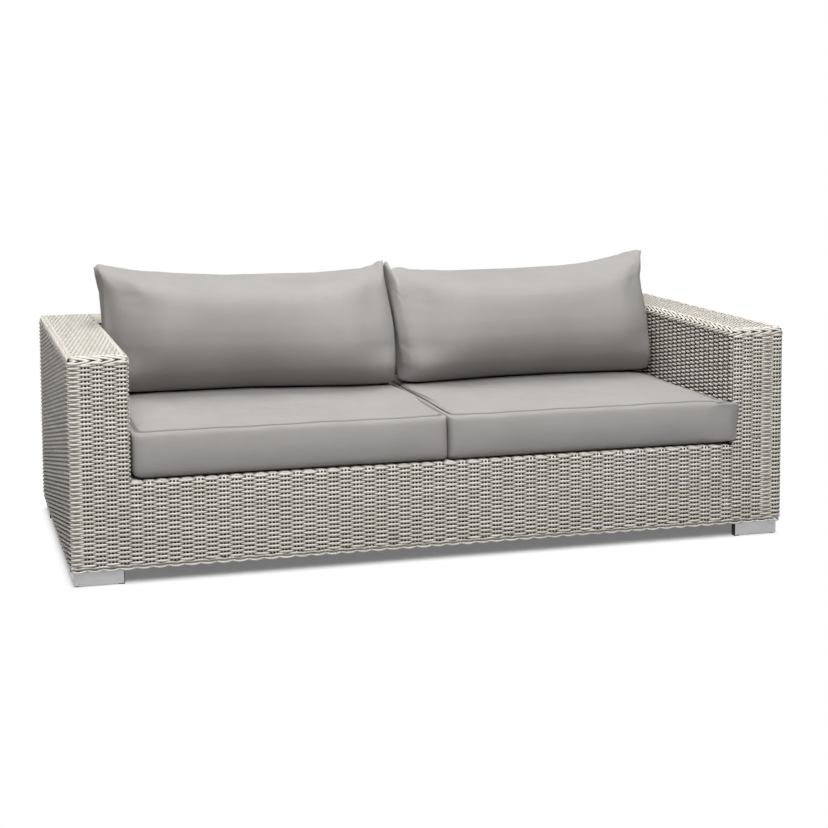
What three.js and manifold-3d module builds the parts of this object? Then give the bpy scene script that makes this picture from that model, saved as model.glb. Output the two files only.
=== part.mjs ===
// Rattan garden sofa for three people, in millimetres.
// A welded aluminium tube frame carries woven strand panels, four L-shaped aluminium feet,
// two boxed seat cushions and two pillow back cushions that lie loose on each other.
// X runs along the sofa, Y from front to back, Z up. The origin is on the floor at the centre.

import * as THREE from "three";
import Module from "manifold-3d";
import { mergeVertices } from "three/addons/utils/BufferGeometryUtils.js";

const wasm = await Module();
wasm.setup();

// Driving dimensions
const overallWidth = 2100;
const overallDepth = 1000;
const armHeight = 626;
const armWidth = 165;
const backThickness = 205;
const deckHeight = 281;
const undersideHeight = 40;

// Shared clearances
const fitGap = 0.3;
const overrun = 5;
const mergeTolerance = 0.0001;

// Woven panels
const weaveThickness = 8;
const edgeBraidHeight = 16;
const underWrap = 34;
const deckLedge = 70;
const columnGrooveDepth = 2.4;
const columnGrooveWidth = 9;
const columnCounts = { armFront: 5, side: 31, armInner: 24, apron: 52, rear: 66, backInner: 53 };

// Square frame tube
const tubeSize = 25;
const tubeWall = 1.8;
const tubeCornerRadius = 3;
const weepHoleDiameter = 6;

// Feet
const footLeg = 135;
const footThickness = 20;
const footWall = 2;
const footCornerRadius = 4;
const footSideInset = 7;
const footFrontInset = 12;
const glideHeight = 3;
const capPlate = 1.5;
const capPlugLength = 12;
const capGlideLength = 14;
const capGlideInset = 2;
const capCornerRadius = 2;

// Seat cushions
const seatCushionHeight = 129;
const seatCrown = 14;
const seatCornerRadius = 24;
const seatEdgeRadius = 16;
const seatSeamGroove = 2.5;
const seatSeamRoll = 5;
const seatDrawIn = 4;
const seatFrontSetback = 10;
const cushionSideGap = 1.5;
const cushionMiddleGap = 2;

// Back cushions
const backCushionHeight = 336;
const backFootSetback = 130;
const backHeadSetback = 57;
const backFrontBulge = 185;
const backSeamHalf = 4;
const backDrawIn = 6;
const backEarRise = 46;
const backEarTuck = 5;

// Colours, roughness and metalness
const finishes = {
  weave: { color: 0xc3bbb0, roughness: 0.62, metalness: 0 },
  frame: { color: 0xb9b6b0, roughness: 0.45, metalness: 0.6 },
  foot: { color: 0xb4b7ba, roughness: 0.32, metalness: 1 },
  plastic: { color: 0x161617, roughness: 0.5, metalness: 0 },
  fabric: { color: 0x9d9893, roughness: 0.92, metalness: 0 },
};

// Faces that several pieces share
const sideX = overallWidth / 2;
const frontY = -overallDepth / 2;
const rearY = overallDepth / 2;
const armInnerX = sideX - armWidth;
const backInnerY = rearY - backThickness;
const panelRadius = weaveThickness + fitGap + tubeCornerRadius;
const braidBottom = armHeight - edgeBraidHeight;
const panelTop = braidBottom - fitGap;

// Inner faces of the woven panels, where the frame sits with the fit gap
const frameInset = weaveThickness + fitGap;
const frameSideX = sideX - frameInset;
const frameFrontY = frontY + frameInset;
const frameRearY = rearY - frameInset;
const frameBottomZ = undersideHeight + frameInset;
const frameTopZ = armHeight - frameInset;
const armPostX = armInnerX + frameInset;
const backPostY = backInnerY + frameInset;
const deckRailTopZ = deckHeight - frameInset;
const deckRailBottomZ = deckRailTopZ - tubeSize;

// Steps of a quarter turn on panel edges and on tube corners
const panelCornerSteps = 3;
const tubeCornerSteps = 2;
const weepHoleSides = 12;

const sofa = new THREE.Group();

function addPart(name, geometry, finish) {
  const mesh = new THREE.Mesh(geometry, new THREE.MeshStandardMaterial(finishes[finish]));
  mesh.name = name;
  sofa.add(mesh);
}

// Points of a quarter turn, anticlockwise, from the given count of quarter turns
function quarterTurn(centreX, centreY, radius, quarters, steps) {
  if (radius === 0) return [new THREE.Vector2(centreX, centreY)];
  const points = [];
  for (let step = 0; step <= steps; step += 1) {
    const angle = (quarters + step / steps) * (Math.PI / 2);
    points.push(new THREE.Vector2(centreX + radius * Math.cos(angle), centreY + radius * Math.sin(angle)));
  }
  return points;
}

// Rectangle whose corners, anticlockwise from the lowest pair of values, have their own radii
function roundedOutline(x0, y0, x1, y1, radii, steps) {
  const [r00, r10, r11, r01] = radii;
  return [
    ...quarterTurn(x0 + r00, y0 + r00, r00, 2, steps),
    ...quarterTurn(x1 - r10, y0 + r10, r10, 3, steps),
    ...quarterTurn(x1 - r11, y1 - r11, r11, 0, steps),
    ...quarterTurn(x0 + r01, y1 - r01, r01, 1, steps),
  ];
}

// Prism of an outline between two places along an axis. The outline lies in the other two axes,
// in the order X, Y, Z.
function prism(axis, outline, start, end, holes = []) {
  const shape = new THREE.Shape(outline);
  holes.forEach((hole) => shape.holes.push(new THREE.Path(hole)));
  const geometry = new THREE.ExtrudeGeometry(shape, { depth: end - start, bevelEnabled: false });
  return placeAlong(axis, geometry, start, end);
}

function placeAlong(axis, geometry, start, end) {
  const alongX = new THREE.Vector3(1, 0, 0);
  const alongY = new THREE.Vector3(0, 1, 0);
  const alongZ = new THREE.Vector3(0, 0, 1);
  const turn = new THREE.Matrix4();
  if (axis === "x") turn.makeBasis(alongY, alongZ, alongX).setPosition(start, 0, 0);
  if (axis === "y") turn.makeBasis(alongX, alongZ, alongY.clone().negate()).setPosition(0, end, 0);
  if (axis === "z") turn.setPosition(0, 0, start);
  return geometry.applyMatrix4(turn);
}

function block(x0, x1, y0, y1, z0, z1) {
  const geometry = new THREE.BoxGeometry(x1 - x0, y1 - y0, z1 - z0);
  return geometry.translate((x0 + x1) / 2, (y0 + y1) / 2, (z0 + z1) / 2);
}

// Boolean work on closed geometries
function toSolid(geometry) {
  const bare = geometry.clone();
  bare.deleteAttribute("normal");
  bare.deleteAttribute("uv");
  const merged = mergeVertices(bare, mergeTolerance);
  return new wasm.Manifold(
    new wasm.Mesh({
      numProp: 3,
      vertProperties: new Float32Array(merged.attributes.position.array),
      triVerts: new Uint32Array(merged.index.array),
    }),
  );
}

function fromSolid(solid) {
  const mesh = solid.getMesh();
  const geometry = new THREE.BufferGeometry();
  geometry.setAttribute("position", new THREE.BufferAttribute(mesh.vertProperties, mesh.numProp));
  geometry.setIndex(new THREE.BufferAttribute(mesh.triVerts, 1));
  return geometry;
}

function combine(operation, pieces) {
  const solids = pieces.map(toSolid);
  return fromSolid(solids.reduce((result, solid) => result[operation](solid)));
}

const join = (...pieces) => combine("add", pieces);
const cut = (body, ...tools) => combine("subtract", [body, ...tools]);
const meet = (...pieces) => combine("intersect", pieces);

// Mirror images, with their faces still pointing out
function turnedInsideOut(geometry) {
  const index = geometry.index.array;
  for (let corner = 0; corner < index.length; corner += 3) {
    const first = index[corner];
    index[corner] = index[corner + 1];
    index[corner + 1] = first;
  }
  return geometry;
}

function acrossWidth(geometry) {
  const indexed = geometry.index ? geometry.clone() : mergeVertices(geometry.clone(), mergeTolerance);
  return turnedInsideOut(indexed.scale(-1, 1, 1));
}

const acrossDepth = (geometry) => turnedInsideOut(geometry.clone().scale(1, -1, 1));

function addPair(name, leftGeometry, finish) {
  addPart(`left_${name}`, leftGeometry, finish);
  addPart(`right_${name}`, acrossWidth(leftGeometry), finish);
}

// Hollow square tube with open ends. The two spans are its section in the other two axes.
function tube(axis, firstSpan, secondSpan, start, end) {
  const [a0, a1] = firstSpan;
  const [b0, b1] = secondSpan;
  const radii = [tubeCornerRadius, tubeCornerRadius, tubeCornerRadius, tubeCornerRadius];
  const outside = roundedOutline(a0, b0, a1, b1, radii, tubeCornerSteps);
  const bore = roundedOutline(a0 + tubeWall, b0 + tubeWall, a1 - tubeWall, b1 - tubeWall, [0, 0, 0, 0], 1);
  return prism(axis, outside, start, end, [bore]);
}

const spanUp = (low) => [low, low + tubeSize];
const spanDown = (high) => [high - tubeSize, high];

// Woven panel sections

// Section of an outer wall: a slab that turns under the bottom rail with a round edge.
// depth is measured from the outer face inwards.
function wallSection(topZ) {
  const bottomZ = undersideHeight;
  return [
    new THREE.Vector2(0, topZ),
    ...quarterTurn(panelRadius, bottomZ + panelRadius, panelRadius, 2, panelCornerSteps),
    new THREE.Vector2(underWrap, bottomZ),
    new THREE.Vector2(underWrap, bottomZ + weaveThickness),
    ...quarterTurn(
      panelRadius,
      bottomZ + panelRadius,
      panelRadius - weaveThickness,
      2,
      panelCornerSteps,
    ).reverse(),
    new THREE.Vector2(weaveThickness, topZ),
  ];
}

// Section of the apron: the same wall, rolled back over the front rail as a ledge under the cushions
function apronSection() {
  const lower = wallSection(deckHeight).slice(1, -1);
  const rollZ = deckHeight - panelRadius;
  return [
    ...lower,
    ...quarterTurn(panelRadius, rollZ, panelRadius - weaveThickness, 1, panelCornerSteps).reverse(),
    new THREE.Vector2(deckLedge, deckHeight - weaveThickness),
    new THREE.Vector2(deckLedge, deckHeight),
    ...quarterTurn(panelRadius, rollZ, panelRadius, 1, panelCornerSteps),
  ];
}

const fromFace = (section, face, inward) =>
  section.map((point) => new THREE.Vector2(face + inward * point.x, point.y));

// Upright grooves between the woven columns of a wall, where the strands dive behind each other.
// The columns share the wall's run along X or Y from start to end. inward is 1 or -1.
function columnGrooves(axis, face, inward, [start, end], columns, [z0, z1]) {
  const mouth = (columnGrooveWidth / 2) * (1 + overrun / columnGrooveDepth);
  const outside = face - inward * overrun;
  const bottom = face + inward * columnGrooveDepth;
  const grooves = [];
  for (let column = 1; column < columns; column += 1) {
    const middle = start + (column / columns) * (end - start);
    const wedge = [
      [middle - mouth, outside],
      [middle, bottom],
      [middle + mouth, outside],
    ].map(([along, across]) =>
      axis === "x" ? new THREE.Vector2(along, across) : new THREE.Vector2(across, along),
    );
    grooves.push(prism("z", wedge, z0, z1));
  }
  return grooves;
}

// Plan of the left arm, with round corners where two woven faces meet outside
function armPlan(innerFrontRadius, z0, z1) {
  const outline = roundedOutline(
    -sideX,
    frontY,
    -armInnerX,
    rearY,
    [panelRadius, innerFrontRadius, 0, panelRadius],
    panelCornerSteps,
  );
  return prism("z", outline, z0, z1);
}

const armColumn = join(armPlan(0, 0, deckHeight), armPlan(panelRadius, deckHeight, armHeight));

const wallGrooveSpan = [undersideHeight + panelRadius, armHeight];
const apronGrooveSpan = [undersideHeight + panelRadius, deckHeight - panelRadius];
const innerGrooveSpan = [deckHeight, armHeight];
const apronGrooveX = armInnerX + panelRadius;

function buildArmPanels() {
  const wallInnerX = -sideX + weaveThickness;
  const frontInnerY = frontY + weaveThickness;

  const frontWall = prism("x", fromFace(wallSection(panelTop), frontY, 1), -sideX, -armInnerX);
  const behindSideWall = block(
    -sideX - overrun,
    wallInnerX + fitGap,
    frontInnerY,
    frontY + underWrap + overrun,
    0,
    armHeight,
  );
  const frontRun = [-apronGrooveX, -sideX];
  const frontGrooves = columnGrooves("x", frontY, 1, frontRun, columnCounts.armFront, wallGrooveSpan);
  const frontPanel = cut(meet(frontWall, armColumn), behindSideWall, ...frontGrooves);
  addPair("arm_front_panel", frontPanel, "weave");

  const sideWall = prism(
    "y",
    fromFace(wallSection(panelTop), -sideX, 1),
    frontInnerY + fitGap,
    -frontInnerY - fitGap,
  );
  const wrapEnd = -frontY - underWrap - fitGap;
  const frontWrapEnd = block(wallInnerX, 0, frontY, -wrapEnd, 0, armHeight);
  const rearWrapEnd = block(wallInnerX, 0, wrapEnd, rearY, 0, armHeight);
  const sideRun = [rearY - panelRadius, frontY + panelRadius];
  const sideGrooves = columnGrooves("y", -sideX, 1, sideRun, columnCounts.side, wallGrooveSpan);
  const sidePanel = cut(meet(sideWall, armColumn), frontWrapEnd, rearWrapEnd, ...sideGrooves);
  addPair("outer_side_panel", sidePanel, "weave");

  const innerWall = block(
    -armInnerX - weaveThickness,
    -armInnerX,
    frontInnerY + fitGap,
    backInnerY + weaveThickness,
    deckHeight + fitGap,
    panelTop,
  );
  const innerRun = [backInnerY, frontY];
  const innerGrooves = columnGrooves("y", -armInnerX, -1, innerRun, columnCounts.armInner, innerGrooveSpan);
  addPair("arm_inner_panel", cut(meet(innerWall, armColumn), ...innerGrooves), "weave");

  // Arm top: a shallow lid whose braided edges hang down over the walls. Its rear end is open
  // towards the back, where the top of the back meets it.
  const bothRound = [0, 0, panelRadius, panelRadius];
  const outerRound = [0, 0, 0, panelRadius];
  const besideSeat = roundedOutline(-sideX, braidBottom, -armInnerX, armHeight, bothRound, panelCornerSteps);
  const besideBack = roundedOutline(-sideX, braidBottom, -armInnerX, armHeight, outerRound, panelCornerSteps);
  const lengthwise = roundedOutline(frontY, braidBottom, rearY, armHeight, bothRound, panelCornerSteps);
  const lid = meet(
    join(prism("y", besideSeat, frontY, backInnerY), prism("y", besideBack, backInnerY, rearY)),
    prism("x", lengthwise, -sideX, -armInnerX),
    armColumn,
  );
  const roomX = -armInnerX - weaveThickness;
  const roomTop = armHeight - weaveThickness;
  const room = block(wallInnerX, roomX, frontInnerY, -frontInnerY, 0, roomTop);
  const rearRoom = block(wallInnerX, 0, backInnerY + weaveThickness, -frontInnerY, 0, roomTop);
  addPair("arm_top_panel", cut(lid, room, rearRoom), "weave");
}

function buildApronAndDeck() {
  const apronEndX = armInnerX - fitGap;
  const apron = prism("x", fromFace(apronSection(), frontY, 1), -apronEndX, apronEndX);
  const run = [-apronGrooveX, apronGrooveX];
  const grooves = columnGrooves("x", frontY, 1, run, columnCounts.apron, apronGrooveSpan);
  addPart("front_apron_panel", cut(apron, ...grooves), "weave");

  const deckSideX = armInnerX + weaveThickness;
  const deck = block(
    -deckSideX,
    deckSideX,
    frontY + deckLedge + fitGap,
    backInnerY + weaveThickness,
    deckHeight - weaveThickness,
    deckHeight,
  );
  addPart("seat_deck_panel", deck, "weave");
}

function buildBackPanels() {
  const backEndX = armInnerX - fitGap;
  const wallInnerY = rearY - weaveThickness;

  const rearPlan = roundedOutline(
    -sideX,
    frontY,
    sideX,
    rearY,
    [0, 0, panelRadius, panelRadius],
    panelCornerSteps,
  );
  const rearWall = prism("x", fromFace(wallSection(panelTop), rearY, -1), -sideX, sideX);
  const besideSideX = sideX - weaveThickness - fitGap;
  const wrapY = rearY - underWrap - overrun;
  const leftEnd = block(-sideX - overrun, -besideSideX, wrapY, wallInnerY, 0, armHeight);
  const rightEnd = block(besideSideX, sideX + overrun, wrapY, wallInnerY, 0, armHeight);
  const rearBody = meet(rearWall, prism("z", rearPlan, 0, armHeight));
  const rearRun = [-sideX, sideX];
  const rearGrooves = columnGrooves("x", rearY, -1, rearRun, columnCounts.rear, wallGrooveSpan);
  const rearPanel = cut(rearBody, leftEnd, rightEnd, ...rearGrooves);
  addPart("back_outer_panel", rearPanel, "weave");

  const innerWall = block(
    -backEndX,
    backEndX,
    backInnerY,
    backInnerY + weaveThickness,
    deckHeight + fitGap,
    panelTop,
  );
  const innerRun = [-armInnerX, armInnerX];
  const innerGrooves = columnGrooves("x", backInnerY, 1, innerRun, columnCounts.backInner, innerGrooveSpan);
  addPart("back_inner_panel", cut(innerWall, ...innerGrooves), "weave");

  const radii = [0, 0, panelRadius, panelRadius];
  const outline = roundedOutline(backInnerY, braidBottom, rearY, armHeight, radii, panelCornerSteps);
  const room = block(
    -sideX,
    sideX,
    backInnerY + weaveThickness,
    wallInnerY,
    0,
    armHeight - weaveThickness,
  );
  addPart("back_top_panel", cut(prism("x", outline, -backEndX, backEndX), room), "weave");
}

// Welded frame

// Rectangular hoop of mitred tube across an arm, hollow, with a weep hole in its bottom bar
function armHoop(y0) {
  const outerX = -frameSideX;
  const innerX = -armPostX;
  const square = [0, 0, 0, 0];
  const ring = (inset) => [
    roundedOutline(outerX + inset, frameBottomZ + inset, innerX - inset, frameTopZ - inset, square, 1),
    roundedOutline(
      outerX + tubeSize - inset,
      frameBottomZ + tubeSize - inset,
      innerX - tubeSize + inset,
      frameTopZ - tubeSize + inset,
      square,
      1,
    ),
  ];
  const [outside, window] = ring(0);
  const shape = new THREE.Shape(outside);
  shape.holes.push(new THREE.Path(window));
  const solidRing = new THREE.ExtrudeGeometry(shape, {
    depth: tubeSize - 2 * tubeCornerRadius,
    bevelEnabled: true,
    bevelThickness: tubeCornerRadius,
    bevelSize: tubeCornerRadius,
    bevelOffset: -tubeCornerRadius,
    bevelSegments: tubeCornerSteps,
  });
  const y1 = y0 + tubeSize;
  placeAlong("y", solidRing, y0 + tubeCornerRadius, y1 - tubeCornerRadius);
  const [boreOutside, boreWindow] = ring(tubeWall);
  const bore = prism("y", boreOutside, y0 + tubeWall, y1 - tubeWall, [boreWindow]);
  const weepRadius = weepHoleDiameter / 2;
  const weepHole = new THREE.CylinderGeometry(weepRadius, weepRadius, tubeSize, weepHoleSides);
  weepHole.rotateX(Math.PI / 2);
  weepHole.translate((outerX + innerX) / 2, y0 + tubeSize / 2, frameBottomZ);
  return cut(solidRing, bore, weepHole);
}

function buildArmFrame() {
  const hoopGap = tubeSize + fitGap;
  const railStart = frameFrontY + hoopGap;
  const railEnd = frameRearY - hoopGap;
  const outerSpan = spanUp(-frameSideX);
  const innerSpan = spanDown(-armPostX);
  const topSpan = spanDown(frameTopZ);
  const bottomSpan = spanUp(frameBottomZ);
  const postTop = frameTopZ - tubeSize - fitGap;
  const middle = [-tubeSize / 2, tubeSize / 2];

  addPair("arm_front_hoop", armHoop(frameFrontY), "frame");
  addPair("arm_rear_hoop", armHoop(frameRearY - tubeSize), "frame");
  addPair("arm_top_outer_rail", tube("y", outerSpan, topSpan, railStart, railEnd), "frame");
  addPair("arm_top_inner_rail", tube("y", innerSpan, topSpan, railStart, railEnd), "frame");
  addPair("arm_bottom_rail", tube("y", outerSpan, bottomSpan, railStart, railEnd), "frame");
  const postBottom = frameBottomZ + tubeSize + fitGap;
  addPair("arm_middle_post", tube("z", outerSpan, middle, postBottom, postTop), "frame");
  addPair("seat_corner_post", tube("z", innerSpan, spanUp(backPostY), deckRailBottomZ, postTop), "frame");
}

function buildSeatFrame() {
  const railEndX = armPostX - fitGap;
  const frontSpan = spanUp(frameFrontY);
  const rearSpan = spanDown(backPostY - fitGap);
  const deckSpan = spanUp(deckRailBottomZ);
  const sideStart = frontSpan[1] + fitGap;
  const sideEnd = rearSpan[0] - fitGap;
  const middle = [-tubeSize / 2, tubeSize / 2];

  addPart("seat_front_rail", tube("x", frontSpan, deckSpan, -railEndX, railEndX), "frame");
  addPart("seat_rear_rail", tube("x", rearSpan, deckSpan, -railEndX, railEndX), "frame");
  addPair("seat_side_rail", tube("y", spanUp(-railEndX), deckSpan, sideStart, sideEnd), "frame");

  const bearerNames = ["left_seat_bearer", "middle_seat_bearer", "right_seat_bearer"];
  bearerNames.forEach((name, index) => {
    const centreX = (index - 1) * (railEndX / 2);
    const span = [centreX - tubeSize / 2, centreX + tubeSize / 2];
    addPart(name, tube("y", span, deckSpan, sideStart, sideEnd), "frame");
  });

  const bottomSpan = spanUp(frameBottomZ);
  addPart("apron_bottom_rail", tube("x", frontSpan, bottomSpan, -railEndX, railEndX), "frame");
  const postStart = bottomSpan[1] + fitGap;
  const postEnd = deckRailBottomZ - fitGap;
  addPart("apron_middle_post", tube("z", middle, frontSpan, postStart, postEnd), "frame");
}

function buildBackFrame() {
  const railEndX = armPostX - fitGap;
  const rearSpan = spanDown(frameRearY);
  const frontSpan = spanUp(backPostY);
  const topSpan = spanDown(frameTopZ);
  const bottomSpan = spanUp(frameBottomZ);
  const postEnd = topSpan[0] - fitGap;
  const middle = [-tubeSize / 2, tubeSize / 2];

  addPart("back_top_front_rail", tube("x", frontSpan, topSpan, -railEndX, railEndX), "frame");
  addPart("back_top_rear_rail", tube("x", rearSpan, topSpan, -railEndX, railEndX), "frame");
  addPart("back_bottom_rail", tube("x", rearSpan, bottomSpan, -railEndX, railEndX), "frame");
  addPart("back_front_post", tube("z", middle, frontSpan, deckRailBottomZ, postEnd), "frame");
  addPart("back_rear_post", tube("z", middle, rearSpan, bottomSpan[1] + fitGap, postEnd), "frame");
}

// Feet

// Front left foot in its place; the other three are its mirror images
function footBody() {
  const x0 = -sideX + footSideInset;
  const y0 = frontY + footFrontInset;
  const top = undersideHeight - fitGap;
  const roundX = x0 + footCornerRadius;
  const roundY = y0 + footCornerRadius;
  const lOutline = (inset, reach) => [
    ...quarterTurn(roundX, roundY, footCornerRadius - inset, 2, panelCornerSteps),
    new THREE.Vector2(x0 + footLeg + reach, y0 + inset),
    new THREE.Vector2(x0 + footLeg + reach, y0 + footThickness - inset),
    new THREE.Vector2(x0 + footThickness - inset, y0 + footThickness - inset),
    new THREE.Vector2(x0 + footThickness - inset, y0 + footLeg + reach),
    new THREE.Vector2(x0 + inset, y0 + footLeg + reach),
  ];
  const outside = prism("z", lOutline(0, 0), glideHeight, top);
  const bore = prism("z", lOutline(footWall, overrun), glideHeight + footWall, top - footWall);
  return cut(outside, bore);
}

// End cap on the leg along X: a plate, a plug in the tube and a glide under the tube
function footCap() {
  const endX = -sideX + footSideInset + footLeg + fitGap;
  const y0 = frontY + footFrontInset;
  const y1 = y0 + footThickness;
  const top = undersideHeight - fitGap;
  const radii = [0, 0, capCornerRadius, capCornerRadius];
  const plate = prism("x", roundedOutline(y0, 0, y1, top, radii, panelCornerSteps), endX, endX + capPlate);
  const plugInset = footWall + fitGap;
  const plug = block(
    endX - capPlugLength,
    endX + capPlate / 2,
    y0 + plugInset,
    y1 - plugInset,
    glideHeight + plugInset,
    top - plugInset,
  );
  const glide = block(
    endX - capGlideLength,
    endX + capPlate / 2,
    y0 + capGlideInset,
    y1 - capGlideInset,
    0,
    glideHeight - fitGap,
  );
  return join(plate, plug, glide);
}

// The same form reflected in the foot's diagonal, so that a cap for one leg fits the other
function acrossDiagonal(geometry) {
  const cornerX = -sideX + footSideInset;
  const cornerY = frontY + footFrontInset;
  const swap = new THREE.Matrix4().makeBasis(
    new THREE.Vector3(0, 1, 0),
    new THREE.Vector3(1, 0, 0),
    new THREE.Vector3(0, 0, 1),
  );
  swap.setPosition(cornerX - cornerY, cornerY - cornerX, 0);
  return turnedInsideOut(geometry.clone().applyMatrix4(swap));
}

function buildFeet() {
  const body = footBody();
  const frontCap = footCap();
  const sideCap = acrossDiagonal(frontCap);
  addPair("front_foot", body, "foot");
  addPair("front_foot_inner_cap", frontCap, "plastic");
  addPair("front_foot_side_cap", sideCap, "plastic");
  addPair("rear_foot", acrossDepth(body), "foot");
  addPair("rear_foot_inner_cap", acrossDepth(frontCap), "plastic");
  addPair("rear_foot_side_cap", acrossDepth(sideCap), "plastic");
}

// Cushions

const cushionWidth = armInnerX - cushionSideGap - cushionMiddleGap / 2;
const cushionCentreX = -(cushionMiddleGap + cushionWidth) / 2;
const seatBottomZ = deckHeight + fitGap;
const seatSeamZ = deckHeight + seatCushionHeight;
const seatTopZ = seatSeamZ + seatCrown;

// Plan of a boxed cushion: round corners, and sides that pull in a little between them
const sidePoints = 6;
const cornerPoints = 4;
const leastCornerShare = 0.25;

function cushionLoop(halfX, halfY, radius, drawIn) {
  const corners = [
    [1, -1, 3],
    [1, 1, 0],
    [-1, 1, 1],
    [-1, -1, 2],
  ];
  const loop = [];
  corners.forEach(([signX, signY, quarters], index) => {
    const centreX = signX * (halfX - radius);
    const centreY = signY * (halfY - radius);
    const turn = quarterTurn(centreX, centreY, radius, quarters, cornerPoints - 1);
    loop.push(...turn);
    const [nextX, nextY, nextQuarters] = corners[(index + 1) % corners.length];
    const nextCentreX = nextX * (halfX - radius);
    const nextCentreY = nextY * (halfY - radius);
    const nextStart = quarterTurn(nextCentreX, nextCentreY, radius, nextQuarters, 1)[0];
    const sideStart = turn[turn.length - 1];
    for (let step = 1; step < sidePoints; step += 1) {
      const share = step / sidePoints;
      const point = sideStart.clone().lerp(nextStart, share);
      const pull = drawIn * Math.sin(share * Math.PI);
      if (signX === nextX) point.x -= signX * pull;
      else point.y -= signY * pull;
      loop.push(point);
    }
  });
  return loop;
}

function seatCushion() {
  const y0 = frontY + seatFrontSetback;
  const y1 = backInnerY - fitGap;
  const halfX = cushionWidth / 2;
  const halfY = (y1 - y0) / 2;
  const centreY = (y0 + y1) / 2;
  const rings = [];
  const addRing = (inset, z) => {
    const radius = Math.max(seatCornerRadius - inset, seatCornerRadius * leastCornerShare);
    const pull = seatDrawIn * (1 - inset / halfY);
    rings.push({ loop: cushionLoop(halfX - inset, halfY - inset, radius, pull), z });
  };

  // Flat underside, round lower edge and upright band
  const edgeSteps = 3;
  for (let step = 0; step <= edgeSteps; step += 1) {
    const angle = (step / edgeSteps) * (Math.PI / 2);
    const inset = seatEdgeRadius * (1 - Math.sin(angle));
    addRing(inset, seatBottomZ + seatEdgeRadius * (1 - Math.cos(angle)));
  }
  addRing(0, seatSeamZ - seatSeamRoll);
  addRing(seatSeamGroove, seatSeamZ - seatSeamRoll / 2);
  addRing(seatSeamGroove / 2, seatSeamZ);

  // Crown, steep at the seam and almost flat in the middle
  const crownShares = [0.03, 0.08, 0.16, 0.28, 0.45, 0.68, 0.9];
  const crownPower = 5;
  crownShares.forEach((share) => {
    const rise = 1 - Math.pow(1 - share, crownPower);
    addRing(halfY * share, seatSeamZ + seatCrown * rise);
  });
  return loftRings(rings, cushionCentreX, centreY, seatBottomZ, seatTopZ);
}

// Closed skin over stacked rings, with a fan at each end
function loftRings(rings, centreX, centreY, bottomZ, topZ) {
  const count = rings[0].loop.length;
  const positions = [];
  const triangles = [];
  rings.forEach(({ loop, z }) => {
    loop.forEach((point) => positions.push(centreX + point.x, centreY + point.y, z));
  });
  for (let ring = 0; ring < rings.length - 1; ring += 1) {
    for (let place = 0; place < count; place += 1) {
      const next = (place + 1) % count;
      const low = ring * count + place;
      const lowNext = ring * count + next;
      triangles.push(low, lowNext, lowNext + count, low, lowNext + count, low + count);
    }
  }
  const bottomCentre = positions.length / 3;
  positions.push(centreX, centreY, bottomZ);
  const topCentre = bottomCentre + 1;
  positions.push(centreX, centreY, topZ);
  const lastRing = (rings.length - 1) * count;
  for (let place = 0; place < count; place += 1) {
    const next = (place + 1) % count;
    triangles.push(bottomCentre, next, place);
    triangles.push(topCentre, lastRing + place, lastRing + next);
  }
  return closedGeometry(positions, triangles);
}

function closedGeometry(positions, triangles) {
  const geometry = new THREE.BufferGeometry();
  geometry.setAttribute("position", new THREE.Float32BufferAttribute(positions, 3));
  geometry.setIndex(triangles);
  return geometry;
}

// Side profile of a back cushion: height share, front bulge share, rear bulge share
const backProfileShares = [
  [0, 0.49, 0.42],
  [0.04, 0.61, 0.58],
  [0.1, 0.73, 0.72],
  [0.2, 0.865, 0.84],
  [0.32, 0.955, 0.94],
  [0.45, 1, 0.99],
  [0.58, 0.965, 1],
  [0.7, 0.855, 0.94],
  [0.8, 0.69, 0.83],
  [0.88, 0.525, 0.66],
  [0.94, 0.355, 0.46],
  [0.98, 0.175, 0.24],
  [1, 0, 0],
];
const backStationShares = [
  -1, -0.985, -0.955, -0.91, -0.85, -0.76, -0.64, -0.5, -0.34, -0.17, 0,
  0.17, 0.34, 0.5, 0.64, 0.76, 0.85, 0.91, 0.955, 0.985, 1,
];

// Pillow that stands on the seat cushion and leans on the back, with ears at its top corners
function backCushion() {
  const bottomZ = seatTopZ + fitGap;
  const halfX = cushionWidth / 2;
  const fullnessPower = 14;
  const slopePower = 2;
  const earPower = 10;
  const broadRiseShare = 0.3;
  const front = [];
  const rear = [];
  backStationShares.forEach((across) => {
    const reach = Math.abs(across);
    const fullness = Math.sqrt(1 - Math.pow(reach, fullnessPower));
    const rise = backEarRise * (
      broadRiseShare * Math.pow(reach, slopePower) + (1 - broadRiseShare) * Math.pow(reach, earPower)
    );
    backProfileShares.forEach(([up, frontShare, rearShare]) => {
      const seamY = backInnerY - backFootSetback + up * (backFootSetback - backHeadSetback);
      const room = backInnerY - fitGap - seamY;
      const drawn = backDrawIn * Math.sin(up * Math.PI);
      const tuck = backEarTuck * Math.pow(reach, earPower) * Math.pow(up, earPower);
      const x = cushionCentreX + across * (halfX - drawn);
      const z = bottomZ + up * backCushionHeight + rise * Math.pow(up, earPower / 2);
      const frontDepth = Math.max(backFrontBulge * frontShare * fullness, backSeamHalf);
      const rearDepth = Math.max((room - backSeamHalf) * rearShare * fullness, backSeamHalf);
      front.push([x, seamY - frontDepth - tuck, z]);
      rear.push([x, seamY + rearDepth - tuck, z]);
    });
  });
  return pillowGeometry(front, rear, backStationShares.length, backProfileShares.length);
}

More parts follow.
